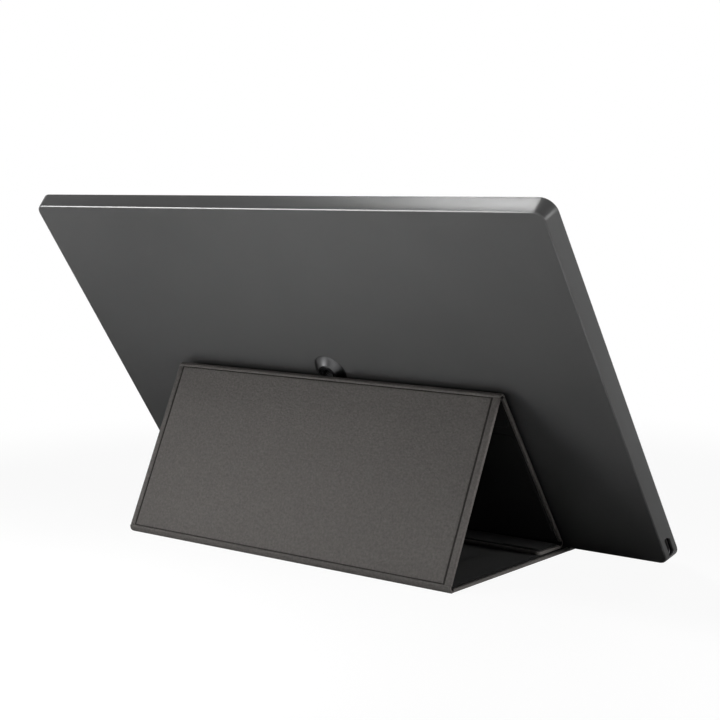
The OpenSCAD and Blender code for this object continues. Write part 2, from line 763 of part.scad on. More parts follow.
// Pressed seam
seam_in = 4;
seam_w = 0.5;
seam_d = 0.3;
// Hinge line across the riser
riser_groove_y = ridge_s - groove_s;
groove_r = 0.35;
groove_w = 3;
// Each magnet's start and length along the sheet
base_magnet_places = [[12, 20], [40, 40]];
riser_magnet_places = [[5, 12], [34, 40]];
flap_magnet_places = [[4, flap_len - 8]];
pocket_gap = 0.15;
middle_pad_h = 0.2;

// Panel's outline, whose corners have one radius at y = 0 and another at its far end.
module panel_rect(w, len, low_r, high_r) {
  round_rect(w, len - 2 * high_r, low_r);
  translate([0, 2 * low_r]) round_rect(w, len - 2 * low_r, high_r);
}

// Outer skin with its edges turned up round the board.
module skin_tray(len, high_r = fold_corner_r) {
  linear_extrude(skin_t) panel_rect(cover_w, len, fold_corner_r, high_r);
  linear_extrude(lining_z - glue) difference() {
    panel_rect(cover_w, len, fold_corner_r, high_r);
    translate([0, lip_w])
      panel_rect(cover_w - 2 * lip_w, len - 2 * lip_w, fold_corner_r, max(high_r - lip_w, fold_corner_r));
  }
}

// Groove pressed into the outer face along a stitched seam.
module seam_groove(len) {
  translate([0, 0, -eps]) linear_extrude(seam_d + eps) difference() {
    translate([0, seam_in]) round_rect(cover_w - 2 * seam_in, len - 2 * seam_in, free_r);
    translate([0, seam_in + seam_w])
      round_rect(cover_w - 2 * (seam_in + seam_w), len - 2 * (seam_in + seam_w), free_r - seam_w);
  }
}

// Stiff board from y0 to y1 in a panel, with a pocket for each magnet.
module stiff_board(y0, y1, pockets) {
  w = cover_w - 2 * (lip_w + fit_gap);
  translate([0, y0, board_z]) linear_extrude(lining_z - glue - board_z) difference() {
    round_rect(w, y1 - y0, free_r - lip_w);
    for (p = pockets, side = [-1, 1])
      translate([side * cover_magnet_x - magnet_w / 2 - pocket_gap, p[0] - pocket_gap - y0])
        square([magnet_w + 2 * pocket_gap, p[1] + 2 * pocket_gap]);
  }
}

// Magnets at both ends of a panel.
module end_magnets(places) {
  for (p = places, side = [-1, 1])
    translate([side * cover_magnet_x - magnet_w / 2, p[0], board_z + glue])
      cube([magnet_w, p[1], lining_z - board_z - 3 * glue]);
}

// Inner lining over the whole panel.
module lining_sheet(len, high_r = fold_corner_r) {
  translate([0, lining_in, lining_z]) linear_extrude(lining_t)
    panel_rect(cover_w - 2 * lining_in, len - 2 * lining_in, fold_corner_r, high_r);
}
// Fields raised out of the lining from y0 to y1: full height over the magnets, lower between them.
module lining_fields(y0, y1) {
  end_w = band_w - pad_inset;
  end_x = cover_w / 2 - pad_inset - end_w / 2;
  for (side = [-1, 1])
    translate([side * end_x, y0, panel_t - eps]) linear_extrude(pad_h + eps) round_rect(end_w, y1 - y0, 3.5);
  translate([0, y0, panel_t - eps]) linear_extrude(middle_pad_h + eps)
    round_rect(cover_w - 2 * band_w + 4, y1 - y0, 1);
}

// Leather that turns from one panel to the next, as a round strip past the panel's end.
module crease(len, turn) {
  end_play = 0.5;
  steps = 4;
  translate([0, len, fold_r]) rotate([90, 0, 90]) linear_extrude(cover_w - 1, center = true)
    intersection() {
      difference() {
        circle(fold_r, $fn = 96);
        circle(fold_r - crease_t, $fn = 64);
      }
      polygon(concat([[0, 0]], [for (i = [0:steps])
        let (a = -90 + end_play + i * (turn - 2 * end_play) / steps) 2 * fold_r * [cos(a), sin(a)]]));
    }
}

module riser_skin() {
  color(leather_grey) on_riser() difference() {
    skin_tray(riser_len);
    translate([0, riser_groove_y, 0]) rotate([0, 90, 0])
      cylinder(h = cover_w + 2, r = groove_r, center = true, $fn = 24);
  }
}
module strip_board() {
  color(board_grey) on_riser()
    stiff_board(lip_w + fit_gap, riser_groove_y - groove_w / 2, [riser_magnet_places[0]]);
}
module riser_board() {
  color(board_grey) on_riser()
    stiff_board(riser_groove_y + groove_w / 2, riser_len - lip_w - fit_gap, [riser_magnet_places[1]]);
}
module riser_lining() {
  color(lining_grey) on_riser() {
    lining_sheet(riser_len);
    lining_fields(pad_inset + 1, riser_groove_y - groove_w / 2 - 1);
    lining_fields(riser_groove_y + groove_w / 2 + 1, riser_len - pad_inset);
  }
}
module riser_magnets() {
  color(magnet_grey) on_riser() end_magnets(riser_magnet_places);
}

module back_skin() {
  color(leather_grey) on_back() difference() {
    skin_tray(back_len);
    seam_groove(back_len);
  }
}
module back_board() {
  color(board_grey) on_back() stiff_board(lip_w + fit_gap, back_len - lip_w - fit_gap, []);
}
module back_lining() {
  color(lining_grey) on_back() {
    lining_sheet(back_len);
    lining_fields(pad_inset, back_len - pad_inset);
  }
}

// The base's skin and lining run on past its board as a soft margin under the monitor's edge.
module base_skin() {
  color(leather_grey) on_base() {
    skin_tray(base_len);
    translate([0, -margin_len, 0]) linear_extrude(skin_t)
      panel_rect(cover_w, margin_len + lip_w, free_r, fold_corner_r);
  }
}
module base_board() {
  color(board_grey) on_base() stiff_board(lip_w + fit_gap, base_len - lip_w - fit_gap, base_magnet_places);
}
// The lining steps down over the end of the board to the margin.
module base_lining() {
  step_t = 0.4;
  step_w = cover_w - 2 * lining_in;
  color(lining_grey) on_base() {
    lining_sheet(base_len);
    lining_fields(pad_inset, base_len - pad_inset);
    translate([0, -glue - step_t, board_z]) linear_extrude(panel_t - board_z)
      round_rect(step_w, step_t, 0.15);
    translate([0, -glue - step_t, lining_z]) linear_extrude(lining_t)
      round_rect(step_w, step_t + lining_in + 2 * fold_corner_r, 0.15);
    translate([0, -margin_len + lining_in, board_z]) linear_extrude(margin_t - board_z)
      panel_rect(step_w, margin_len - lining_in - glue, free_r - lining_in, 0.15);
  }
}
module base_magnets() {
  color(magnet_grey) on_base() end_magnets(base_magnet_places);
}

module flap_skin() {
  color(leather_grey) on_flap() skin_tray(flap_len, free_r);
}
module flap_board() {
  color(board_grey) on_flap() stiff_board(lip_w + fit_gap, flap_len - lip_w - fit_gap, flap_magnet_places);
}
module flap_lining() {
  color(lining_grey) on_flap() {
    lining_sheet(flap_len, free_r - lining_in);
    lining_fields(pad_inset, flap_len - pad_inset);
  }
}
module flap_magnets() {
  color(magnet_grey) on_flap() end_magnets(flap_magnet_places);
}

module ridge_crease() {
  color(leather_grey) on_back() crease(back_len, ridge_turn);
}
module rear_crease() {
  color(leather_grey) on_base() crease(base_len, rear_turn);
}
module foot_crease() {
  color(leather_grey) on_riser() crease(riser_len, foot_turn);
}

rear_shell();
front_frame();
lcd_cell();
film_stack();
light_guide();
led_bar();
panel_chassis();
panel_tape();
panel_board();
panel_cable();
main_board();
main_board_chips();
port_board();
link_cable();
video_socket();
usb_sockets();
socket_cone();
tripod_insert();
insert_screws();
board_screws();
back_magnets();
front_magnets();
button_domes();
status_light();
power_button();
menu_button();
rocker_button();
riser_skin();
riser_board();
strip_board();
riser_lining();
riser_magnets();
back_skin();
back_board();
back_lining();
base_skin();
base_board();
base_lining();
base_magnets();
flap_skin();
flap_board();
flap_lining();
flap_magnets();
ridge_crease();
rear_crease();
foot_crease();
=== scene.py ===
"""Portable monitor that leans back on its own folded leather cover."""

import json
import math

import bmesh
import bpy
from mathutils import Matrix, Vector


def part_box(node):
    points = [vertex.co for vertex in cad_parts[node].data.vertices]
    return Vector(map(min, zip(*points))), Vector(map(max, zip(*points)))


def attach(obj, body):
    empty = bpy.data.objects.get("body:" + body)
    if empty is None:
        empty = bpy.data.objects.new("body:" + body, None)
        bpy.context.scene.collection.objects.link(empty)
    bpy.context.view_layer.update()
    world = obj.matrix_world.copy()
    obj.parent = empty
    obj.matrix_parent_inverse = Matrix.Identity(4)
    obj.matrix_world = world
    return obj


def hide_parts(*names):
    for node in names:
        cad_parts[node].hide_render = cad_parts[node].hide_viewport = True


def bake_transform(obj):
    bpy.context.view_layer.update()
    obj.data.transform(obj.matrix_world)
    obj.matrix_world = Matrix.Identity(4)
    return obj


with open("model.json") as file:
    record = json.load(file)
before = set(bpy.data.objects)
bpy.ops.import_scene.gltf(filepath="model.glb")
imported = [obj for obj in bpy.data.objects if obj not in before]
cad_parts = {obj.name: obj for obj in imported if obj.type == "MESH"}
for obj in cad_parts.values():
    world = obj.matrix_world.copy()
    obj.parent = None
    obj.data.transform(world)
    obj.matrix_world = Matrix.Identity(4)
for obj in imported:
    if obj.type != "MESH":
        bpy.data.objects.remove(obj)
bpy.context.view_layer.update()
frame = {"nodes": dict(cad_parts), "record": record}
nodes = frame["nodes"]

MM = 0.001

# ---- Sizes in millimetres and degrees, as in the construction ----
# A name that ends in S is a height up the monitor's back, from its lower edge.
MONITOR_W = 358.7  # casing, across
MONITOR_H = 226.2  # casing, from lower to upper edge
MONITOR_T = 8.8
EDGE_INSET = 2.6  # how far the side bands slope in from the screen side to the back
CORNER_R = 8.0
WALL_T = 1.2
TILT = 32.5  # how far the monitor leans back from upright
SIDE_BORDER = 7.25  # casing beside the lit area
TOP_BORDER = 7.6
LOWER_BORDER = 25.0
FRAME_T = 1.0  # frame round the screen
CELL_T = 1.0  # the screen's glass
GLASS_MARGIN = 2.2  # glass beside and above the lit area
GLASS_LEDGE = 6.5  # glass below it
FIT_GAP = 0.1  # round the frame, and between the frame and the glass

SOCKET_S = 113.1  # tripod socket
SOCKET_DEPTH = 5.8
SOCKET_R = 2.55
THREAD_PITCH = 1.27
THREAD_DEPTH = 0.54
CONE_H = 3.2  # how far the cone round it stands out of the back
CONE_R = 10.6  # at its foot
CONE_TOP_R = 5.6
CONE_HOLE_R = 4.66
CONE_ROUND = 0.5  # between its flank and its flat end
INSERT_HOLE_R = 4.7  # in the shell's wall

VIDEO_S = 9.4
VIDEO_DEPTH = 4.4  # middle of the video socket's mouth, in from the back's plane
VIDEO_MOUTH = (11.2, 3.3)  # length along the side band, and width
SIDE_DEPTH = 3.1  # depth of the sockets and buttons on the other side band
DATA_S = (24.0, 40.0)
DATA_MOUTH = (9.3, 3.3)
DATA_SHELL = (8.9, 3.2)
LIGHT_S = 50.0  # status light
LIGHT_MOUTH = (2.4, 1.0)
POWER_S = 60.0
MENU_S = 74.0
ROCKER_S = 93.0
BUTTON_LEN = 8.0
ROCKER_LEN = 18.0
BUTTON_W = 2.0
BUTTON_PROUD = 0.6
SLOT_GAP = 0.25  # round a button

COVER_W = 230.4
COVER_SHIFT = -2.3  # middle of the cover, off the middle of the monitor
PANEL_T = 2.4  # leather, board and lining together
SKIN_T = 0.7
LINING_T = 0.6
PAD_H = 0.5  # how far the end pads stand out of the lining
MIDDLE_PAD_H = 0.2
PAD_INSET = 2.4
BAND_W = 27.0  # band at each end of a panel that holds the magnets
FOLD_R = 2.9  # outer radius of the leather folds
CREASE_T = 1.2  # leather of the folds
PANEL_R = 3.0  # corners of the cover
RIDGE_S = 110.7  # where the cover leaves the monitor's back
GROOVE_S = 88.5  # hinge line across the riser
BACK_LEAN = 25.8  # how far the stand's back panel leans from upright
FLAP_LEN = 20.0
FRONT_MARGIN = 8.0  # soft front edge of the base, where no board is
MARGIN_T = 1.0
REST_GAP = 0.3

# ---- Where everything stands, in the side view (y towards the rear, z up) ----
SIN_T = math.sin(math.radians(TILT))
COS_T = math.cos(math.radians(TILT))
SIN_B = math.sin(math.radians(BACK_LEAN))
COS_B = math.cos(math.radians(BACK_LEAN))
EDGE_Z = MARGIN_T + REST_GAP
LEAN_GAP = CONE_H + REST_GAP
ridge_y = RIDGE_S * SIN_T + LEAN_GAP * COS_T
ridge_z = EDGE_Z + RIDGE_S * COS_T - LEAN_GAP * SIN_T
ridge_oy = ridge_y + FOLD_R * COS_T
ridge_oz = ridge_z - FOLD_R * SIN_T
back_top_y = ridge_oy + FOLD_R * COS_B
back_top_z = ridge_oz + FOLD_R * SIN_B
back_len = (back_top_z - FOLD_R * (1 + SIN_B)) / COS_B
rear_oy = back_top_y + back_len * SIN_B - FOLD_R * COS_B
back_low_y = rear_oy + FOLD_R * COS_B
back_low_z = FOLD_R * (1 + SIN_B)
flap_z = PANEL_T + PAD_H + REST_GAP
foot_turn = 90 + TILT
foot_corner_s = (flap_z - EDGE_Z + LEAN_GAP * SIN_T) / COS_T
foot_tangent = FOLD_R * math.tan(math.radians(foot_turn / 2))
riser_len = RIDGE_S - foot_corner_s - foot_tangent
foot_oy = foot_corner_s * SIN_T + LEAN_GAP * COS_T + foot_tangent
base_step_y = (PANEL_T + PAD_H - EDGE_Z) * math.tan(math.radians(TILT)) + 2 * REST_GAP
base_len = rear_oy - base_step_y
margin_len = FRONT_MARGIN + base_step_y
ridge_turn = 180 - TILT - BACK_LEAN
rear_turn = 90 + BACK_LEAN
# The frame's origin lies in the middle of the footprint; the base's soft front edge fixes it.
centre_y = base_step_y - margin_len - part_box("base_skin")[0].y / MM
riser_groove = RIDGE_S - GROOVE_S


def side_frame(x, y, z, turn):
    """Matrix from a local frame in millimetres, turned about X, to the row frame in metres."""
    place = Matrix.Translation(Vector((x, y - centre_y, z)) * MM)
    return place @ Matrix.Rotation(math.radians(turn), 4, "X") @ Matrix.Scale(MM, 4)


# Casing frame: x across, y out of the back, z up along the back.
ON_CASING = side_frame(0, 0, EDGE_Z, -TILT)
# Panel frames: x across, y along the sheet, z from the outer skin to the lining.
ON_BASE = side_frame(COVER_SHIFT, base_step_y, 0, 0)
ON_BACK = side_frame(COVER_SHIFT, back_low_y, back_low_z, rear_turn)
ON_RISER = side_frame(COVER_SHIFT, ridge_y, ridge_z, 270 - TILT)
ON_FLAP = side_frame(COVER_SHIFT, foot_oy, flap_z, 0)


# ---- Meshes ----
def outline(w, h, low_r, high_r, z0=0.0, steps=10):
    """Rectangle with round corners, centred on 0 and standing on z0, as a closed run of points."""
    corners = ((w / 2 - high_r, h - high_r, high_r, 0), (high_r - w / 2, h - high_r, high_r, 90),
               (low_r - w / 2, low_r, low_r, 180), (w / 2 - low_r, low_r, low_r, 270))
    points = []
    for cx, cz, r, first in corners:
        for i in range(steps + 1):
            a = math.radians(first + 90 * i / steps)
            points.append((cx + r * math.cos(a), z0 + cz + r * math.sin(a)))
    return points


def arc(cx, cy, r, first, last, steps=6):
    """Points of an arc, from one angle to another in degrees."""
    turns = [math.radians(first + (last - first) * i / steps) for i in range(steps + 1)]
    return [(cx + r * math.cos(a), cy + r * math.sin(a)) for a in turns]


def loft(bm, rings, caps=True, closed=False):
    """Skin over closed rings of as many points each, capped or joined end to end, as rows of vertices."""
    rows = [[bm.verts.new(p) for p in ring] for ring in rings]
    n = len(rows[0])
    pairs = list(zip(rows, rows[1:]))
    if closed:
        pairs.append((rows[-1], rows[0]))
    for a, b in pairs:
        for i in range(n):
            bm.faces.new((a[i], a[(i + 1) % n], b[(i + 1) % n], b[i]))
    if caps and not closed:
        bm.faces.new(list(reversed(rows[0])))
        bm.faces.new(rows[-1])
    return rows


def smooth(mesh, sharp):
    """Smooth shading, with edges sharper than an angle in degrees left crisp."""
    mesh.polygons.foreach_set("use_smooth", [True] * len(mesh.polygons))
    mesh.set_sharp_from_angle(angle=math.radians(sharp))


def piece(name, bm, place, finish, body=None, sharp=35):
    """Object from a mesh in a local frame, finished, smoothed and riding on its body."""
    bmesh.ops.recalc_face_normals(bm, faces=bm.faces)
    mesh = bpy.data.meshes.new(name)
    bm.to_mesh(mesh)
    bm.free()
    mesh.transform(place)
    smooth(mesh, sharp)
    mesh.materials.append(finish)
    obj = bpy.data.objects.new(name, mesh)
    bpy.context.scene.collection.objects.link(obj)
    if body:
        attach(obj, body)
    return obj


def cut(obj, cutters, sharp=35):
    """Takes the cutters' volume out of a piece and removes them."""
    for cutter in cutters:
        modifier = obj.modifiers.new("cut", "BOOLEAN")
        modifier.operation = "DIFFERENCE"
        modifier.solver = "EXACT"
        modifier.object = cutter
    bpy.context.view_layer.update()
    result = bpy.data.meshes.new_from_object(obj.evaluated_get(bpy.context.evaluated_depsgraph_get()))
    smooth(result, sharp)
    obj.modifiers.clear()
    obj.data = result
    for cutter in cutters:
        bpy.data.objects.remove(cutter)


def finish_rows(obj, around, rows, finish):
    """Second finish on some rows of a loft's faces, where each row has as many faces as go around it."""
    obj.data.materials.append(finish)
    for face in obj.data.polygons[around * rows[0]:around * rows[1]]:
        face.material_index = 1


# ---- Materials ----
def material(name, color, roughness, metallic=0.0, **settings):
    """Principled material with its plain values on the shader's own sockets."""
    made = bpy.data.materials.new(name)
    made.use_nodes = True
    shader = made.node_tree.nodes["Principled BSDF"]
    shader.inputs["Base Color"].default_value = (*color, 1)
    shader.inputs["Roughness"].default_value = roughness
    shader.inputs["Metallic"].default_value = metallic
    for key, value in settings.items():
        shader.inputs[key.replace("_", " ")].default_value = value
    return made


def add(made, kind, links=(), **values):
    """New node with its properties and input values set."""
    node = made.node_tree.nodes.new(kind)
    for key, value in values.items():
        if hasattr(node, key):
            setattr(node, key, value)
        else:
            node.inputs[key.replace("_", " ")].default_value = value
    for source, target in links:
        made.node_tree.links.new(source, node.inputs[target])
    return node


def noise(made, scale, detail=3.0, roughness=0.5):
    """Value of a noise that is fixed to the object; the scale counts its waves in a metre."""
    coords = add(made, "ShaderNodeTexCoord")
    return add(made, "ShaderNodeTexNoise", [(coords.outputs["Object"], "Vector")],
               Scale=scale, Detail=detail, Roughness=roughness).outputs["Fac"]


def mottle(made, source, dark, light, low=0.3, high=0.7):
    """Base colour that wanders between two shades."""
    ramp = add(made, "ShaderNodeValToRGB", [(source, "Fac")])
    ends = ramp.color_ramp.elements
    ends[0].position = low
    ends[1].position = high
    ends[0].color = (*dark, 1)
    ends[1].color = (*light, 1)
    shader = made.node_tree.nodes["Principled BSDF"]
    made.node_tree.links.new(ramp.outputs["Color"], shader.inputs["Base Color"])


def vary_roughness(made, source, low, high):
    """Roughness that wanders between two values."""
    spread = add(made, "ShaderNodeMapRange", [(source, "Value")], To_Min=low, To_Max=high)
    shader = made.node_tree.nodes["Principled BSDF"]
    made.node_tree.links.new(spread.outputs["Result"], shader.inputs["Roughness"])


def bump(made, height, strength, distance):
    """Fine relief from a height, with its depth in metres."""
    shader = made.node_tree.nodes["Principled BSDF"]
    node = add(made, "ShaderNodeBump", [(height, "Height")], Strength=strength, Distance=distance)
    made.node_tree.links.new(node.outputs["Normal"], shader.inputs["Normal"])


def shades(color, spread):
    """A darker and a lighter shade of a colour."""
    return [c * (1 - spread) for c in color], [c * (1 + spread) for c in color]


def moulded(name, color, roughness, grain=0.00001, **settings):
    """Satin moulded plastic with a fine spark-eroded texture."""
    made = material(name, color, roughness, **settings)
    broad = noise(made, 25, 3)
    mottle(made, broad, *shades(color, 0.03))
    vary_roughness(made, broad, roughness - 0.03, roughness + 0.03)
    bump(made, noise(made, 6000, 2), 0.35, grain)
    return made


def metal(name, color, roughness):
    """Plain metal, a little uneven in colour and polish."""
    made = material(name, color, roughness, 1.0)
    grain = noise(made, 2500, 3)
    mottle(made, grain, [c * 0.88 for c in color], color)
    vary_roughness(made, grain, roughness - 0.06, roughness + 0.08)
    return made


def turned_metal(name, color, roughness):
    """Dark satin metal with the fine radial brushing of a spun face round the tripod socket."""
    made = material(name, color, roughness, 1.0)
    coords = add(made, "ShaderNodeTexCoord")
    middle = ON_CASING @ Vector((0, 0, SOCKET_S))
    local = add(made, "ShaderNodeMapping", [(coords.outputs["Object"], "Vector")],
                vector_type="TEXTURE", Location=middle, Rotation=(math.radians(-TILT), 0, 0))
    split = add(made, "ShaderNodeSeparateXYZ", [(local.outputs["Vector"], "Vector")])
    angle = add(made, "ShaderNodeMath", [(split.outputs["Z"], 0), (split.outputs["X"], 1)],
                operation="ARCTAN2")
    around = add(made, "ShaderNodeCombineXYZ", [(angle.outputs["Value"], "X")])
    streaks = add(made, "ShaderNodeTexNoise", [(around.outputs["Vector"], "Vector")],
                  Scale=14.0, Detail=6.0, Roughness=0.7).outputs["Fac"]
    mottle(made, streaks, *shades(color, 0.25))
    vary_roughness(made, streaks, roughness - 0.08, roughness + 0.08)
    return made


def leather_material(name, color):
    """Fine-grain synthetic leather: small even pebbles and a dry finish."""
    made = material(name, color, 0.6, Specular_IOR_Level=0.15)
    coords = add(made, "ShaderNodeTexCoord")
    pebbles = add(made, "ShaderNodeTexVoronoi", [(coords.outputs["Object"], "Vector")],
                  Scale=850.0, feature="SMOOTH_F1", Smoothness=0.4)
    fine = noise(made, 2600, 3)
    height = add(made, "ShaderNodeMath", [(pebbles.outputs["Distance"], 0), (fine, 1)], operation="ADD")
    mottle(made, noise(made, 700, 4, 0.7), *shades(color, 0.22))
    vary_roughness(made, fine, 0.5, 0.68)
    bump(made, height.outputs["Value"], 0.7, 0.00025)
    return made


def lining_material():
    """Short-napped microfibre, nearly black."""
    made = material("lining", (0.01, 0.01, 0.01), 0.9, Specular_IOR_Level=0.1, Sheen_Weight=0.06,
                    Sheen_Roughness=0.5)
    nap = noise(made, 1800, 4, 0.7)
    mottle(made, nap, (0.007, 0.007, 0.007), (0.014, 0.0137, 0.0133))
    bump(made, nap, 0.5, 0.00008)
    return made


def glass_material(name, color):
    """Matt anti-glare glass."""
    made = material(name, color, 0.28, Coat_Weight=0.3, Coat_Roughness=0.2)
    sparkle = noise(made, 4000, 2)
    mottle(made, noise(made, 8, 2), *shades(color, 0.1))
    bump(made, sparkle, 0.2, 0.000005)
    vary_roughness(made, sparkle, 0.25, 0.32)
    return made


SHELL = moulded("shell", (0.075, 0.075, 0.075), 0.34, Specular_IOR_Level=0.2)
SHELL_EDGE = moulded("shell_edge", (0.075, 0.075, 0.075), 0.2, 0.000001, Specular_IOR_Level=1.0)
FRAME = moulded("frame", (0.01, 0.01, 0.011), 0.4)
BUTTON = moulded("button", (0.03, 0.03, 0.03), 0.35)
CHIP = moulded("chip", (0.02, 0.02, 0.02), 0.5)
BOARD_GREEN = moulded("circuit_board", (0.01, 0.06, 0.03), 0.3)
FIBREBOARD = moulded("fibreboard", (0.08, 0.07, 0.06), 0.85)
FILM = moulded("film", (0.7, 0.71, 0.72), 0.35)
TAPE = moulded("tape", (0.02, 0.02, 0.02), 0.8)
CABLE = moulded("cable", (0.4, 0.2, 0.05), 0.35)
STEEL = metal("steel", (0.45, 0.45, 0.46), 0.35)
SOCKET_METAL = metal("socket_metal", (0.3, 0.3, 0.31), 0.3)
CONTACT = metal("contact", (0.6, 0.45, 0.2), 0.3)
CONE = turned_metal("cone", (0.05, 0.05, 0.051), 0.3)
INSERT_METAL = metal("insert_metal", (0.03, 0.03, 0.031), 0.4)
MAGNET = metal("magnet", (0.4, 0.4, 0.42), 0.2)
LEATHER = leather_material("leather", (0.13, 0.1215, 0.115))
# Painted shade: a darker copy of the leather for the walls and floor of the pressed seam, where shade
# falls in the groove.
PAINTED_SEAM_SHADE = leather_material("leather_seam_painted_shade", (0.04, 0.037, 0.035))
LINING = lining_material()
GLASS = glass_material("screen", (0.004, 0.004, 0.005))
GLASS_BORDER = glass_material("screen_border", (0.002, 0.002, 0.002))

FINISHES = {"shell": SHELL, "frame": FRAME, "screen": GLASS, "film": FILM, "steel": STEEL, "tape": TAPE,
            "pcb": BOARD_GREEN, "chip": CHIP, "cable": CABLE, "socket_metal": SOCKET_METAL,
            "insert_metal": INSERT_METAL, "magnet": MAGNET, "button": BUTTON, "leather": LEATHER,
            "lining": LINING, "board": FIBREBOARD}


def finish_construction():
    """Every construction node that stays in view takes its slot's material."""
    for part in frame["record"]["subparts"]:
        obj = nodes[part["node"]]
        if not obj.material_slots:
            obj.data.materials.append(None)
        for slot in obj.material_slots:
            slot.link = "OBJECT"
            slot.material = FINISHES[part["material_slot"]]


finish_construction()


# ---- Casing ----
BAND_SLOPE = math.atan(EDGE_INSET / MONITOR_T)
RIM_ROUND = 0.35  # screen side of the side bands
CHAMFER_W = 0.54  # between the side bands and the back
CHAMFER_H = 0.4
CHAMFER_ROUND = 0.25  # at both sides of the chamfer
ROUND_STEPS = 3


def inset_at(y):
    """How far the casing's outline is set in at a depth y, 0 at the back face."""
    return EDGE_INSET * (1 + y / MONITOR_T)


def casing_ring(inset, y):
    """The casing's outline at a depth y, set in from its largest size."""
    r = max(CORNER_R - inset, 1)
    points = outline(MONITOR_W - 2 * inset, MONITOR_H - 2 * inset, r, r, inset - EDGE_INSET)
    return [(x, y, z) for x, z in points]


def rim_edge():
    """Insets and depths of the rounding from the screen side's rim to the sloping side band."""
    y = RIM_ROUND - MONITOR_T
    out = -EDGE_INSET - (RIM_ROUND + math.sin(BAND_SLOPE) * y) / math.cos(BAND_SLOPE)
    return [(-px, py) for px, py in arc(out, y, RIM_ROUND, -90, math.degrees(BAND_SLOPE), 5)]


def rounded(corners, radii, steps=6):
    """Closed outline through corners given counter-clockwise, each rounded by its radius."""
    points = []
    for i, (corner, r) in enumerate(zip(corners, radii)):
        here = Vector(corner)
        back = (Vector(corners[i - 1]) - here).normalized()
        ahead = (Vector(corners[(i + 1) % len(corners)]) - here).normalized()
        half = back.angle(ahead) / 2
        middle = here + (back + ahead).normalized() * (r / math.sin(half))
        first = here + back * (r / math.tan(half)) - middle
        for k in range(steps + 1):
            turn = Matrix.Rotation((math.pi - 2 * half) * k / steps, 2)
            points.append(tuple(middle + turn @ first))
    return points


def stadium(length, width, steps=8):
    """Upright outline with round ends, across and along the side band."""
    r = width / 2 - 0.001
    corners = [(-width / 2, -length / 2), (width / 2, -length / 2),
               (width / 2, length / 2), (-width / 2, length / 2)]
    return rounded(corners, [r] * 4, steps)


def grown(points, d):
    """Outline about the origin, moved out by d on every side."""
    half_x = max(x for x, y in points)
    half_y = max(y for x, y in points)
    return [(x * (half_x + d) / half_x, y * (half_y + d) / half_y) for x, y in points]


def on_band(side, s, depth, out, points, sloped=True):
    """Outline laid on a side band, or at a distance out from it, along its slope or square to x."""
    mouth = MONITOR_W / 2 - inset_at(-depth)
    lean = math.tan(BAND_SLOPE) if sloped else 0
    return [(side * (mouth + out - lean * x), x - depth, s + y) for x, y in points]


def slot_cutter(side, s, depth, points, flare):
    """Slot through the side band with a flared mouth; it starts and ends clear of the wall."""
    inner = on_band(side, s, depth, -5, points, False)
    neck = on_band(side, s, depth, -flare, points)
    mouth = on_band(side, s, depth, 0.02, grown(points, flare))
    outer = on_band(side, s, depth, 1, grown(points, flare + 0.3))
    bm = bmesh.new()
    loft(bm, [inner, neck, mouth, outer])
    return piece("cutter", bm, ON_CASING, SHELL)


def video_outline(d=0.0):
    """Outline of the video socket, set out by d: flat towards the back, cut at the other corners."""
    half_w = VIDEO_MOUTH[1] / 2 + d
    half_h = VIDEO_MOUTH[0] / 2 + d
    cut_w = 1.3
    cut_h = 1.5
    corners = [(-half_w, cut_h - half_h), (cut_w - half_w, -half_h), (half_w, -half_h), (half_w, half_h),
               (cut_w - half_w, half_h), (-half_w, half_h - cut_h)]
    return rounded(corners, [0.8, 0.8, 0.35, 0.35, 0.8, 0.8], 4)


def back_edge():
    """Insets and depths of the fine chamfer from the side band to the back, and a first step onto it."""
    run = 4.0
    corners = [(-inset_at(-run), -run), (-inset_at(-CHAMFER_H), -CHAMFER_H),
               (-EDGE_INSET - CHAMFER_W, 0), (-EDGE_INSET - run, 0)]
    count = ROUND_STEPS + 1
    points = rounded(corners, [CHAMFER_ROUND] * 4, ROUND_STEPS)[count:3 * count]
    return [(-px, py) for px, py in points] + [(0.15 - points[-1][0], 0)]


def casing_cutters():
    """Volumes of the openings for the tripod insert, the sockets, the buttons and the status light."""
    bm = bmesh.new()
    loft(bm, [revolved_ring(INSERT_HOLE_R, y, 48) for y in (-5, 5)])
    cutters = [piece("cutter", bm, ON_CASING, SHELL)]
    cutters.append(slot_cutter(-1, VIDEO_S, VIDEO_DEPTH, video_outline(), flare=0.2))
    for s in DATA_S:
        cutters.append(slot_cutter(1, s, SIDE_DEPTH, stadium(*DATA_MOUTH), flare=0.25))
    for s, length in ((POWER_S, BUTTON_LEN), (MENU_S, BUTTON_LEN), (ROCKER_S, ROCKER_LEN)):
        opening = stadium(length + 2 * SLOT_GAP, BUTTON_W + 2 * SLOT_GAP)
        cutters.append(slot_cutter(1, s, SIDE_DEPTH, opening, flare=0.1))
    cutters.append(slot_cutter(1, LIGHT_S, SIDE_DEPTH, stadium(*LIGHT_MOUTH), flare=0.04))
    return cutters


def make_casing():
    """Rear shell: rim, sloping side bands, a fine chamfer to the back, and the openings in its wall."""
    profile = [(inset_at(-WALL_T) + WALL_T, -WALL_T), (WALL_T, -MONITOR_T)] + rim_edge()
    chamfer = len(profile) + ROUND_STEPS
    rings = [casing_ring(inset, y) for inset, y in profile + back_edge()]
    bm = bmesh.new()
    loft(bm, rings)
    shell = piece("casing_shell", bm, ON_CASING, SHELL)
    finish_rows(shell, len(rings[0]), (chamfer, chamfer + 1), SHELL_EDGE)
    cut(shell, casing_cutters())
    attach(shell, "monitor")
    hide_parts("rear_shell")


# ---- Tripod socket ----
INSERT_R = 4.6
FLANGE_R = 12.0
FLANGE = (-2.3, -1.3)  # from and to, behind the back's plane
SLEEVE_R = 6.0
THREAD_STEPS = 10  # rings in a turn of the thread


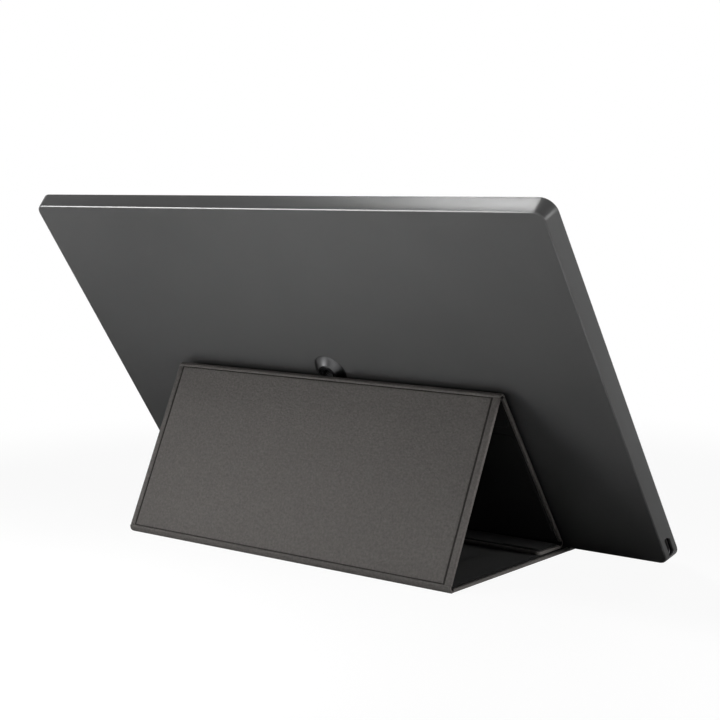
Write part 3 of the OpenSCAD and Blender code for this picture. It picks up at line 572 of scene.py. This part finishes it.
def revolved_ring(r, y, steps, change=None):
    """Circle round the tripod socket's axis at a depth y; change may vary its radius with the angle."""
    ring = []
    for i in range(steps):
        a = math.tau * i / steps
        reach = r + (change(a) if change else 0)
        ring.append((reach * math.cos(a), y, SOCKET_S + reach * math.sin(a)))
    return ring


def make_cone():
    """Cone round the tripod socket, revolved, with a soft foot and a rounded end."""
    foot = [(CONE_HOLE_R, 0.05), (CONE_R, -0.1), (CONE_R, 0.02), (CONE_R - 0.5, 0.1), (CONE_R - 1, 0.35)]
    end = arc(CONE_TOP_R, CONE_H - CONE_ROUND, CONE_ROUND, 48, 90, 5)
    mouth = [(CONE_HOLE_R + 0.34, CONE_H), (CONE_HOLE_R + 0.09, CONE_H - 0.1), (CONE_HOLE_R, CONE_H - 0.3)]
    profile = foot + end + mouth
    bm = bmesh.new()
    loft(bm, [revolved_ring(r, y, 96) for r, y in profile], closed=True)
    cone = piece("tripod_cone", bm, ON_CASING, CONE, "monitor", 50)
    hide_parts("socket_cone")


def thread_rings(first, last):
    """Rings of the threaded wall between two depths; the thread fades in and out at its ends."""
    rows = int((last - first) / THREAD_PITCH * THREAD_STEPS)
    rings = []
    for i in range(1, rows):
        y = first + (last - first) * i / rows
        fade = min(1, i / THREAD_STEPS, (rows - i) / (0.4 * THREAD_STEPS))

        def flank(a):
            """Depth of the thread's groove at an angle."""
            phase = ((y - first) / THREAD_PITCH - a / math.tau) % 1
            return THREAD_DEPTH * fade * min(1, max(0, 1.15 - 2.6 * abs(phase - 0.5)))
        rings.append(revolved_ring(SOCKET_R, y, 72, flank))
    return rings


def make_insert():
    """Metal insert: a blind hole with a real quarter-inch thread, and the flange behind the wall."""
    face = CONE_H - 0.2
    floor = CONE_H - SOCKET_DEPTH
    first = floor + 0.6
    last = face - 0.5
    low, high = FLANGE
    soft = 0.15
    hole = [(0.01, floor), (SOCKET_R, floor), (SOCKET_R, first)]
    mouth = [(SOCKET_R + 0.1, last), (SOCKET_R + 0.65, face - 0.03), (SOCKET_R + 0.72, face)]
    outside = [(4.4, face), (INSERT_R, face - 0.2), (INSERT_R, high), (FLANGE_R - soft, high),
               (FLANGE_R, high - soft), (FLANGE_R, low + soft), (FLANGE_R - soft, low),
               (SLEEVE_R, low), (SLEEVE_R, floor - 0.9)]
    rings = [revolved_ring(r, y, 72) for r, y in hole] + thread_rings(first, last)
    rings += [revolved_ring(r, y, 72) for r, y in mouth + outside]
    bm = bmesh.new()
    loft(bm, rings)
    insert = piece("tripod_thread", bm, ON_CASING, INSERT_METAL, "monitor", 40)
    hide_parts("tripod_insert")


# ---- Sockets and buttons ----
BUTTON_SOFT = 0.35  # rounding of a button's face
BUTTON_STEM = -3.46  # inner end, out from the side band
BUTTON_FLANGE = (-2.96, -2.16)  # from and to
FLANGE_RIM = 1.2  # how much longer and wider than the button
TONGUE_T = 0.7
CONTACT_T = 0.03  # how far a contact stands out of its tongue, and how deep it lies in it


def band_ring(side, s, depth, inward, points):
    """Outline inside the casing, square to x, a distance in from the side band."""
    return on_band(side, s, depth, -inward, points, False)


def tongue(name, side, s, depth, length, thick, start, reach, count, pitch):
    """Tongue of a socket with a soft front edge, and its rows of contacts."""
    bm = bmesh.new()
    flat = stadium(length, thick, 2)
    loft(bm, [band_ring(side, s, depth, start, grown(flat, -0.12)),
              band_ring(side, s, depth, start + 0.15, flat), band_ring(side, s, depth, reach, flat)])
    made = piece(name, bm, ON_CASING, CHIP, "monitor")
    bm = bmesh.new()
    half = 0.27 * pitch
    section = ((-CONTACT_T, -half), (CONTACT_T, -half), (CONTACT_T, half), (-CONTACT_T, half))
    for i in range(count):
        middle = (i - (count - 1) / 2) * pitch
        for face in (-1, 1):
            bar = [(face * (thick / 2 + u), middle + v) for u, v in section]
            loft(bm, [band_ring(side, s, depth, inward, bar) for inward in (start + 0.35, reach)])
    contacts = piece(name + "_contacts", bm, ON_CASING, CONTACT, "monitor")


def socket_shell(bm, side, s, depth, mouth, reach, wall, shape):
    """Drawn shell, open at its rolled mouth and closed at the back; shape gives its outline, set out."""
    rows = [(reach, 0), (mouth + 0.12, 0), (mouth + 0.04, -0.04), (mouth, -0.12), (mouth, -wall + 0.12),
            (mouth + 0.04, -wall + 0.04), (mouth + 0.12, -wall), (reach - 1, -wall)]
    loft(bm, [band_ring(side, s, depth, inward, shape(d)) for inward, d in rows])


def make_video_socket():
    """Full-size video socket: its shell, and its tongue with two rows of contacts."""
    mouth = 1.6
    reach = 10.9
    bm = bmesh.new()
    socket_shell(bm, -1, VIDEO_S, VIDEO_DEPTH, mouth, reach, 0.4, video_outline)
    shell = piece("video_socket_shell", bm, ON_CASING, SOCKET_METAL, "monitor")
    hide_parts("video_socket")
    tongue("video_socket_tongue", -1, VIDEO_S, VIDEO_DEPTH, length=8.3, thick=TONGUE_T,
           start=mouth + 0.5, reach=reach - 0.5, count=19, pitch=0.4)


def data_outline(d):
    """Outline of a data socket's shell, set out by d."""
    length, width = DATA_SHELL
    return stadium(length + 2 * d, width + 2 * d)


def make_data_sockets():
    """Two data and power sockets, each a shell and a tongue with contacts on both faces."""
    mouth = 1.4
    reach = 10.6
    bm = bmesh.new()
    for s in DATA_S:
        socket_shell(bm, 1, s, SIDE_DEPTH, mouth, reach, 0.3, data_outline)
    shells = piece("data_socket_shells", bm, ON_CASING, SOCKET_METAL, "monitor")
    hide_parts("usb_sockets")
    for name, s in zip(("low_data_tongue", "high_data_tongue"), DATA_S):
        tongue(name, 1, s, SIDE_DEPTH, length=6.6, thick=TONGUE_T,
               start=mouth + 0.6, reach=reach - 0.5, count=12, pitch=0.5)


def make_button(name, node, body, s, length, flange_len, dent=0.0):
    """Button whose face follows the slope of the band, with a soft edge, on a flange behind the wall."""
    shape = stadium(length, BUTTON_W)
    plate = stadium(flange_len, BUTTON_W + FLANGE_RIM)
    face = [(BUTTON_PROUD - BUTTON_SOFT * (1 - math.sin(a)), -BUTTON_SOFT * (1 - math.cos(a)))
            for a in map(math.radians, (0, 25, 50, 75, 90))]
    face += [(BUTTON_PROUD - dent * 0.5, -0.55), (BUTTON_PROUD - dent, -0.75)]
    rings = [on_band(1, s, SIDE_DEPTH, BUTTON_STEM, shape, False)]
    rings += [on_band(1, s, SIDE_DEPTH, out, grown(shape, d)) for out, d in face]
    bm = bmesh.new()
    loft(bm, [on_band(1, s, SIDE_DEPTH, out, plate, False) for out in BUTTON_FLANGE])
    loft(bm, rings)
    button = piece(name, bm, ON_CASING, BUTTON, body)
    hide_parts(node)


def make_buttons():
    """Dished power button, menu button, and the rocker between up and down."""
    cap = BUTTON_LEN + FLANGE_RIM
    make_button("power_cap", "power_button", "power_button", POWER_S, BUTTON_LEN, cap, dent=0.12)
    make_button("menu_cap", "menu_button", "menu_button", MENU_S, BUTTON_LEN, cap)
    make_button("rocker_cap", "rocker_button", "rocker", ROCKER_S, ROCKER_LEN, ROCKER_LEN / 2)


# ---- Screen side ----
LIT_W = MONITOR_W - 2 * SIDE_BORDER
LIT_H = MONITOR_H - TOP_BORDER - LOWER_BORDER
LIT_LOW = LOWER_BORDER - EDGE_INSET
PLATE_INSET = WALL_T + FIT_GAP + EDGE_INSET * FRAME_T / MONITOR_T
WINDOW_GAP = 0.5  # between the frame's window and the lit area


def plate_ring(w, h, low, r, y, d):
    """Upright rectangle at a depth y, standing at a height low and set in by d."""
    r = max(r - d, 0.2)
    return [(x, y, z) for x, z in outline(w - 2 * d, h - 2 * d, r, r, low + d)]


def make_front_frame():
    """Frame round the screen, with a fine rounding at its rim and a chamfer down to the glass."""
    outer = (MONITOR_W - 2 * PLATE_INSET, MONITOR_H - 2 * PLATE_INSET, PLATE_INSET - EDGE_INSET,
             CORNER_R - WALL_T)
    window = (LIT_W + 2 * WINDOW_GAP, LIT_H + 2 * WINDOW_GAP, LIT_LOW - WINDOW_GAP, 1.0)
    rim = ((FRAME_T, 0), (0.2, 0), (0.06, 0.06), (0, 0.2), (0, 0.4))
    bevel = ((0, -0.6), (0.02, -0.5), (0.5, 0), (FRAME_T, 0))
    rings = [plate_ring(*outer, y - MONITOR_T, d) for y, d in rim]
    rings += [plate_ring(*window, y - MONITOR_T, d) for y, d in bevel]
    bm = bmesh.new()
    loft(bm, rings, closed=True)
    bezel = piece("front_bezel", bm, ON_CASING, FRAME, "monitor")
    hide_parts("front_frame")


def make_screen():
    """Glass of the screen: a black border round the lit area."""
    cell = (LIT_W + 2 * GLASS_MARGIN, LIT_H + GLASS_LEDGE + GLASS_MARGIN, LIT_LOW - GLASS_LEDGE, 0.5)
    front = -MONITOR_T + FRAME_T + FIT_GAP
    rings = [plate_ring(*cell, front + y, d) for y, d in ((CELL_T, 0), (0.08, 0), (0, 0.08))]
    rings.append(plate_ring(LIT_W, LIT_H, LIT_LOW, 0.3, front, 0))
    bm = bmesh.new()
    loft(bm, rings)
    glass = piece("screen_glass", bm, ON_CASING, GLASS_BORDER, "monitor")
    glass.data.materials.append(GLASS)
    glass.data.polygons[-1].material_index = 1
    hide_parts("lcd_cell")


# ---- Cover ----
EDGE_ROUND = 0.9  # outer edge of the leather
HEM_ROUND = 0.7  # the same on the lining's side
HEM = 1.7  # leather turned in over the lining's edge
CORNER_STEPS = 6
# These rows of the pressed seam take the darker leather, as painted shade in the groove.
SEAM_SHADE_ROWS = (18, 22)  # rows of faces on the walls and floor of the pressed seam
PLAIN = (False, False)  # no free end: a fold at each
FREE_LOW = (True, False)
FREE_HIGH = (False, True)
GROOVE_R = 1.2  # hinge line across the riser
GROOVE_UP = 0.75  # its middle, out of the leather's face
MARGIN_STATIONS = (-0.5, -0.25, 0.0)  # where the base thins to its front margin
PAD_ROUND = 0.4
PAD_CORNER = 3.5
PAD_LAP = 2.0  # how far the middle field runs into the end bands
BEAD_H = 0.14  # bead along a fold, beside each panel
BEAD_IN = 0.75
BEAD_W = 0.45
PINCH_H = 0.22  # where the fold's leather is pressed in at the panel
PINCH_W = 0.18


def panel_ring(low, high, free, side, end, stations=()):
    """Outline of a panel from low to high along the sheet.

    side and end are the inset and the height at the long sides and at the folds. A free end is
    shaped as the sides are, with round corners.
    """
    half = COVER_W / 2 - side[0]
    points = []
    for first, x_sign, y_sign in ((0, 1, 1), (90, -1, 1), (180, -1, -1), (270, 1, -1)):
        is_free = free[1] if y_sign > 0 else free[0]
        inset, height = side if is_free else end
        r = max(PANEL_R - inset, 0.8) if is_free else 0.3
        mid_y = high - inset - r if y_sign > 0 else low + inset + r
        for i in range(CORNER_STEPS + 1):
            a = math.radians(first + 90 * i / CORNER_STEPS)
            turn = math.sin(a) ** 2
            z = side[1] * (1 - turn) + height * turn
            points.append((x_sign * (half - r) + r * math.cos(a), mid_y + r * math.sin(a), z))
        if first == 90:
            points += [(-half, y, side[1]) for y in reversed(stations)]
    return points + [(half, y, side[1]) for y in stations]


def panel_caps(bm, row, count, flip):
    """Closes a ring; where it has stations, in one strip for each stretch between them."""
    corner = CORNER_STEPS + 1
    high = row[:2 * corner]
    left = row[2 * corner:2 * corner + count]
    low = row[2 * corner + count:4 * corner + count]
    right = row[4 * corner + count:]
    faces = [high + low]
    if count:
        faces = [high + left[:1] + right[-1:], left[-1:] + low + right[:1]]
    for i in range(count - 1):
        faces.append([left[i], left[i + 1], right[count - 2 - i], right[count - 1 - i]])
    for face in faces:
        bm.faces.new(list(reversed(face)) if flip else face)


def panel_skin(bm, low, high, free, rows, stations=(), height=None):
    """Skin over a panel's rings, closed at both ends; height may change z along the sheet."""
    rings = []
    for side, end in rows:
        ring = panel_ring(low, high, free, side, end, stations)
        rings.append([(x, y, height(y, z) if height else z) for x, y, z in ring])
    made = loft(bm, rings, caps=False)
    panel_caps(bm, made[0], len(stations), True)
    panel_caps(bm, made[-1], len(stations), False)


def leather_rows():
    """Inset and height at the sides and at the folds, from the board's bed to the outer face.

    They run over the turned hem and the rolled edge. The pressed seam runs 4 mm in at the sides,
    and right at the folds.
    """
    bed = PANEL_T - LINING_T
    end_bed = bed + 0.01
    rows = [((0.85, SKIN_T), (0.85, SKIN_T)), ((0.85, bed), (0.85, bed)),
            ((HEM, bed), (0.8, end_bed)), ((HEM, 2.08), (0.75, end_bed))]
    inner = [(HEM_ROUND - x, 1.4 + y) for x, y in arc(0, 0, HEM_ROUND, 90, 0, 4)]
    rows += [(row, (0.3 - 0.05 * i, end_bed - 0.2 * i)) for i, row in enumerate(inner)]
    outer = [(EDGE_ROUND - x, EDGE_ROUND + y) for x, y in arc(0, 0, EDGE_ROUND, 0, -84, 5)]
    rows += [(row, (0.05 + 0.005 * i, 0.9 - 0.07 * i)) for i, row in enumerate(outer)]
    crown = [(1.6, 0.02), (2.4, 0.0), (3.2, 0.03), (3.6, 0.14)]
    rows += [(row, (0.09 + 0.02 * i, 0.52)) for i, row in enumerate(crown)]
    seam = [(3.8, 0.48), (4.2, 0.62), (4.6, 0.48), (4.8, 0.14), (5.2, 0.03), (6.0, 0.0)]
    at_fold = [(0.2, 0.55), (0.35, 0.55), (0.55, 0.38), (0.75, 0.15), (1.15, 0.03), (1.9, 0.0)]
    return rows + list(zip(seam, at_fold))


def leather_panel(name, node, length, free, place, body, low=0.0, stations=(), height=None):
    """Leather of one panel, with its seam pressed in all round and painted shade on the seam's walls and
    floor.
    """
    bm = bmesh.new()
    panel_skin(bm, low, length, free, leather_rows(), stations, height)
    panel = piece(name, bm, place, LEATHER, None, 50)
    finish_rows(panel, 4 * (CORNER_STEPS + 1) + 2 * len(stations), SEAM_SHADE_ROWS, PAINTED_SEAM_SHADE)
    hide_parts(node)
    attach(panel, body)
    return panel


def raised_field(bm, x, y0, w, length, r, height):
    """Field that stands out of the lining, with a soft edge."""
    soft = min(height, PAD_ROUND)
    edge = [(0, -0.1)] + [(soft + px, height - soft + py) for px, py in arc(0, 0, soft, 180, 90, 5)]
    edge.append((soft + 0.3, height))
    rings = []
    for d, z in edge:
        inner_r = max(r - d, 0.3)
        points = outline(w - 2 * d, length - 2 * d, inner_r, inner_r, d, 6)
        rings.append([(x + px, y0 + py, PANEL_T + z) for px, py in points])
    loft(bm, rings)


def lining(name, node, length, free, fields, place, body, low=0.0, stations=(), height=None):
    """Inner face: a sheet let into the leather's hem, raised at both end bands over the magnets."""
    bm = bmesh.new()
    side_in = HEM + 0.05
    base_z = PANEL_T - LINING_T + 0.02
    sheet = [(0, base_z), (0, PANEL_T - 0.15), (0.15, PANEL_T), (0.5, PANEL_T)]
    rows = [((side_in + d, z), (0.06 + d, z)) for d, z in sheet]
    panel_skin(bm, low, length, free, rows, stations, height)
    field_x = COVER_W / 2 - (PAD_INSET + BAND_W) / 2
    for y0, y1 in fields:
        for side in (-1, 1):
            raised_field(bm, side * field_x, y0, BAND_W - PAD_INSET, y1 - y0, PAD_CORNER, PAD_H)
        raised_field(bm, 0, y0, COVER_W - 2 * (BAND_W - PAD_LAP), y1 - y0, 1, MIDDLE_PAD_H)
    made = piece(name, bm, place, LINING, body, 50)
    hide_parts(node)


def crease_section():
    """Across the sheet: outer face, round sides and inner face of a fold's leather."""
    r = 0.6
    half = COVER_W / 2
    right = [(half - r + x, r - y) for x, y in arc(0, 0, r, 90, 0, 5)]
    return [(-x, h) for x, h in reversed(right)] + right + [(half, CREASE_T), (-half, CREASE_T)]


def crease(name, node, length, turn, place):
    """Leather that turns from one panel to the next, as one strip bent round the fold."""
    section = crease_section()
    steps = 28
    run = math.radians(turn) * FOLD_R
    rings = []
    for i in range(steps + 1):
        s = run * (0.5 - 0.5 * math.cos(math.pi * i / steps))
        from_end = min(s, run - s)
        bead = BEAD_H * math.exp(-((from_end - BEAD_IN) / BEAD_W) ** 2)
        bead -= PINCH_H * math.exp(-(from_end / PINCH_W) ** 2)
        a = -math.pi / 2 + s / FOLD_R
        ring = []
        for x, h in section:
            r = FOLD_R - h + (bead if h < CREASE_T else 0)
            ring.append((x, length + r * math.cos(a), FOLD_R + r * math.sin(a)))
        rings.append(ring)
    bm = bmesh.new()
    loft(bm, rings)
    strip = piece(name, bm, place, LEATHER, None, 50)
    strip.data.materials.append(LINING)
    for face in strip.data.polygons[:steps * len(section)]:
        if face.index % len(section) == len(section) - 2:
            face.material_index = 1
    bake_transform(strip)
    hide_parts(node)


def margin_height(y, z):
    """The base thins to its soft front margin, where no board is."""
    thin = min(1, max(0, y / MARGIN_STATIONS[0]))
    return z * (1 - thin * (1 - MARGIN_T / PANEL_T))


def cut_groove(riser):
    """Takes the hinge line out of the riser's leather."""
    circle = [math.tau * i / 24 for i in range(24)]
    bar = [(GROOVE_R * math.cos(a), GROOVE_R * math.sin(a) - GROOVE_UP) for a in circle]
    bm = bmesh.new()
    loft(bm, [[(x, riser_groove + u, v) for u, v in bar] for x in (-COVER_W, COVER_W)])
    cut(riser, [piece("cutter", bm, ON_RISER, LEATHER)], 50)


def pad(length):
    """Stretch along a panel that one raised field covers."""
    return [(PAD_INSET, length - PAD_INSET)]


def make_cover():
    """The four panels' leather and linings, and the three folds between them."""
    margin = (-margin_len, MARGIN_STATIONS, margin_height)
    riser = leather_panel("riser_leather", "riser_skin", riser_len, PLAIN, ON_RISER, "riser")
    cut_groove(riser)
    leather_panel("back_leather", "back_skin", back_len, PLAIN, ON_BACK, "back_panel")
    leather_panel("base_leather", "base_skin", base_len, FREE_LOW, ON_BASE, "base", *margin)
    leather_panel("flap_leather", "flap_skin", FLAP_LEN, FREE_HIGH, ON_FLAP, "flap")
    beside = 2.5
    riser_pads = [(PAD_INSET + 1, riser_groove - beside),
                  (riser_groove + beside, riser_len - PAD_INSET)]
    lining("riser_inside", "riser_lining", riser_len, PLAIN, riser_pads, ON_RISER, "riser")
    lining("back_inside", "back_lining", back_len, PLAIN, pad(back_len), ON_BACK, "back_panel")
    lining("base_inside", "base_lining", base_len, FREE_LOW, pad(base_len), ON_BASE, "base", *margin)
    lining("flap_inside", "flap_lining", FLAP_LEN, FREE_HIGH, pad(FLAP_LEN), ON_FLAP, "flap")
    crease("ridge_fold_leather", "ridge_crease", back_len, ridge_turn, ON_BACK)
    crease("rear_fold_leather", "rear_crease", base_len, rear_turn, ON_BASE)
    crease("foot_fold_leather", "foot_crease", riser_len, foot_turn, ON_RISER)


make_casing()
make_cone()
make_insert()
make_video_socket()
make_data_sockets()
make_buttons()
make_front_frame()
make_screen()
make_cover()

# ---- Stage ----
CAMERA_PLACE = Vector((-577.76, 676.87, 213.33)) * MM
CAMERA_AHEAD = Vector((0.6335, -0.7637, -0.1243)).normalized()
CAMERA_ROLL = -0.812
CAMERA_LENS = 80.82
SENSOR_W = 36.0
AMBIENT = 0.005  # strength of the world's even light
FLOOR_BOUNCE = (0.8, 0.8, 0.8)
FLOOR_HALF = 6.0
FLOOR_LIT = (0.3, 0.5)  # distances from the middle between which the floor fades to white
FLOOR_GLOW = 0.94  # how far the near floor is white to the camera
MIDDLE = (0, 0, 0.1)


def stage_camera():
    """Camera at the photo's view, with its roll about the line of sight."""
    right = CAMERA_AHEAD.cross(Vector((0, 0, 1))).normalized()
    up = right.cross(CAMERA_AHEAD)
    a = math.radians(CAMERA_ROLL)
    x_axis = right * math.cos(a) + up * math.sin(a)
    y_axis = up * math.cos(a) - right * math.sin(a)
    turn = Matrix((x_axis, y_axis, -CAMERA_AHEAD)).transposed().to_4x4()
    data = bpy.data.cameras.new("camera")
    data.lens = CAMERA_LENS
    data.sensor_width = SENSOR_W
    data.clip_start = 0.01
    data.clip_end = 50
    camera = bpy.data.objects.new("camera", data)
    camera.matrix_world = Matrix.Translation(CAMERA_PLACE) @ turn
    bpy.context.scene.collection.objects.link(camera)
    bpy.context.scene.camera = camera


def seen_directly(made):
    """1 for what the camera, gloss and glass see, and 0 for light on its way to a surface."""
    path = add(made, "ShaderNodeLightPath")
    seen = path.outputs["Is Camera Ray"]
    for kind in ("Is Glossy Ray", "Is Transmission Ray"):
        either = add(made, "ShaderNodeMath", [(seen, 0), (path.outputs[kind], 1)], operation="MAXIMUM")
        seen = either.outputs["Value"]
    return seen


def mix_shaders(made, factor, first, second):
    """The first shader where the factor is 0, and the second where it is 1."""
    return add(made, "ShaderNodeMixShader", [(factor, 0), (first, 1), (second, 2)]).outputs["Shader"]


def stage_world():
    """White to look at, and a weak even light on the object."""
    world = bpy.data.worlds.new("studio")
    world.use_nodes = True
    bpy.context.scene.world = world
    tree = world.node_tree
    soft = tree.nodes["Background"]
    soft.inputs["Color"].default_value = (1, 1, 1, 1)
    soft.inputs["Strength"].default_value = AMBIENT
    white = add(world, "ShaderNodeBackground", Color=(1, 1, 1, 1), Strength=1.0)
    mixed = mix_shaders(world, seen_directly(world), soft.outputs["Background"],
                        white.outputs["Background"])
    tree.links.new(mixed, tree.nodes["World Output"].inputs["Surface"])


def floor_material():
    """Pale floor, white to look at further out, and a plain pale one for the light it throws back.

    Near the object the camera sees the shadow through a veil of white, and gloss sees the lit floor.
    """
    made = material("floor", FLOOR_BOUNCE, 0.9, Specular_IOR_Level=0.0)
    tree = made.node_tree
    plain = tree.nodes["Principled BSDF"]
    pale = add(made, "ShaderNodeBsdfDiffuse", Color=(0.9, 0.9, 0.9, 1))
    glow = add(made, "ShaderNodeEmission", Color=(1, 1, 1, 1), Strength=1.0)
    coords = add(made, "ShaderNodeTexCoord")
    reach = add(made, "ShaderNodeVectorMath", [(coords.outputs["Object"], 0)], operation="LENGTH")
    path = add(made, "ShaderNodeLightPath")
    veil = add(made, "ShaderNodeMath", [(path.outputs["Is Camera Ray"], 0)], operation="MULTIPLY")
    veil.inputs[1].default_value = FLOOR_GLOW
    fade = add(made, "ShaderNodeMapRange",
               [(reach.outputs["Value"], "Value"), (veil.outputs["Value"], "To Min")],
               interpolation_type="SMOOTHSTEP", From_Min=FLOOR_LIT[0], From_Max=FLOOR_LIT[1], To_Max=1)
    seen = mix_shaders(made, fade.outputs["Result"], pale.outputs["BSDF"], glow.outputs["Emission"])
    mixed = mix_shaders(made, seen_directly(made), plain.outputs["BSDF"], seen)
    tree.links.new(mixed, tree.nodes["Material Output"].inputs["Surface"])
    return made


def stage_floor():
    """Flat square floor under the object."""
    corners = ((-1, -1), (1, -1), (1, 1), (-1, 1))
    bm = bmesh.new()
    bm.faces.new([bm.verts.new((x * FLOOR_HALF, y * FLOOR_HALF, 0)) for x, y in corners])
    floor = piece("floor", bm, Matrix.Identity(4), floor_material())


def stage_light(name, place, aim, width, height, power, spread=180):
    """Soft box at a place, turned to an aim, whose beam opens by a spread in degrees."""
    data = bpy.data.lights.new(name, "AREA")
    data.shape = "RECTANGLE"
    data.size = width
    data.size_y = height
    data.energy = power
    data.spread = math.radians(spread)
    light = bpy.data.objects.new(name, data)
    light.location = place
    light.rotation_mode = "QUATERNION"
    light.rotation_quaternion = (Vector(aim) - light.location).to_track_quat("-Z", "Y")
    bpy.context.scene.collection.objects.link(light)


stage_camera()
stage_world()
stage_floor()
# Low far light from behind, on the photo's left: it lights the back, the cover and the chamfer.
stage_light("key", (2.01, 2.23, 0.16), MIDDLE, width=1.6, height=0.45, power=30)
# Pool of light on the floor behind, which the back takes up as a soft glow from below.
stage_light("pool", (0.06, 0.36, 0.6), (0.06, 0.36, 0), width=0.3, height=0.3, power=1.85, spread=50)
# Narrow light from above, on the photo's right end of the top band.
stage_light("band", (0.33, 0.27, 1.22), (-0.33, 0.1, 0.19), width=0.4, height=0.4, power=0.55, spread=20)
# Low light on the side band at the photo's right.
stage_light("rim", (-1.5, -0.25, 0.2), MIDDLE, width=0.4, height=0.4, power=0.75, spread=40)
# Light for the screen side, which the camera doesn't see.
stage_light("front", (0.6, -2.2, 1.4), MIDDLE, width=1.0, height=1.0, power=14)

bpy.context.scene.view_settings.view_transform = "Standard"
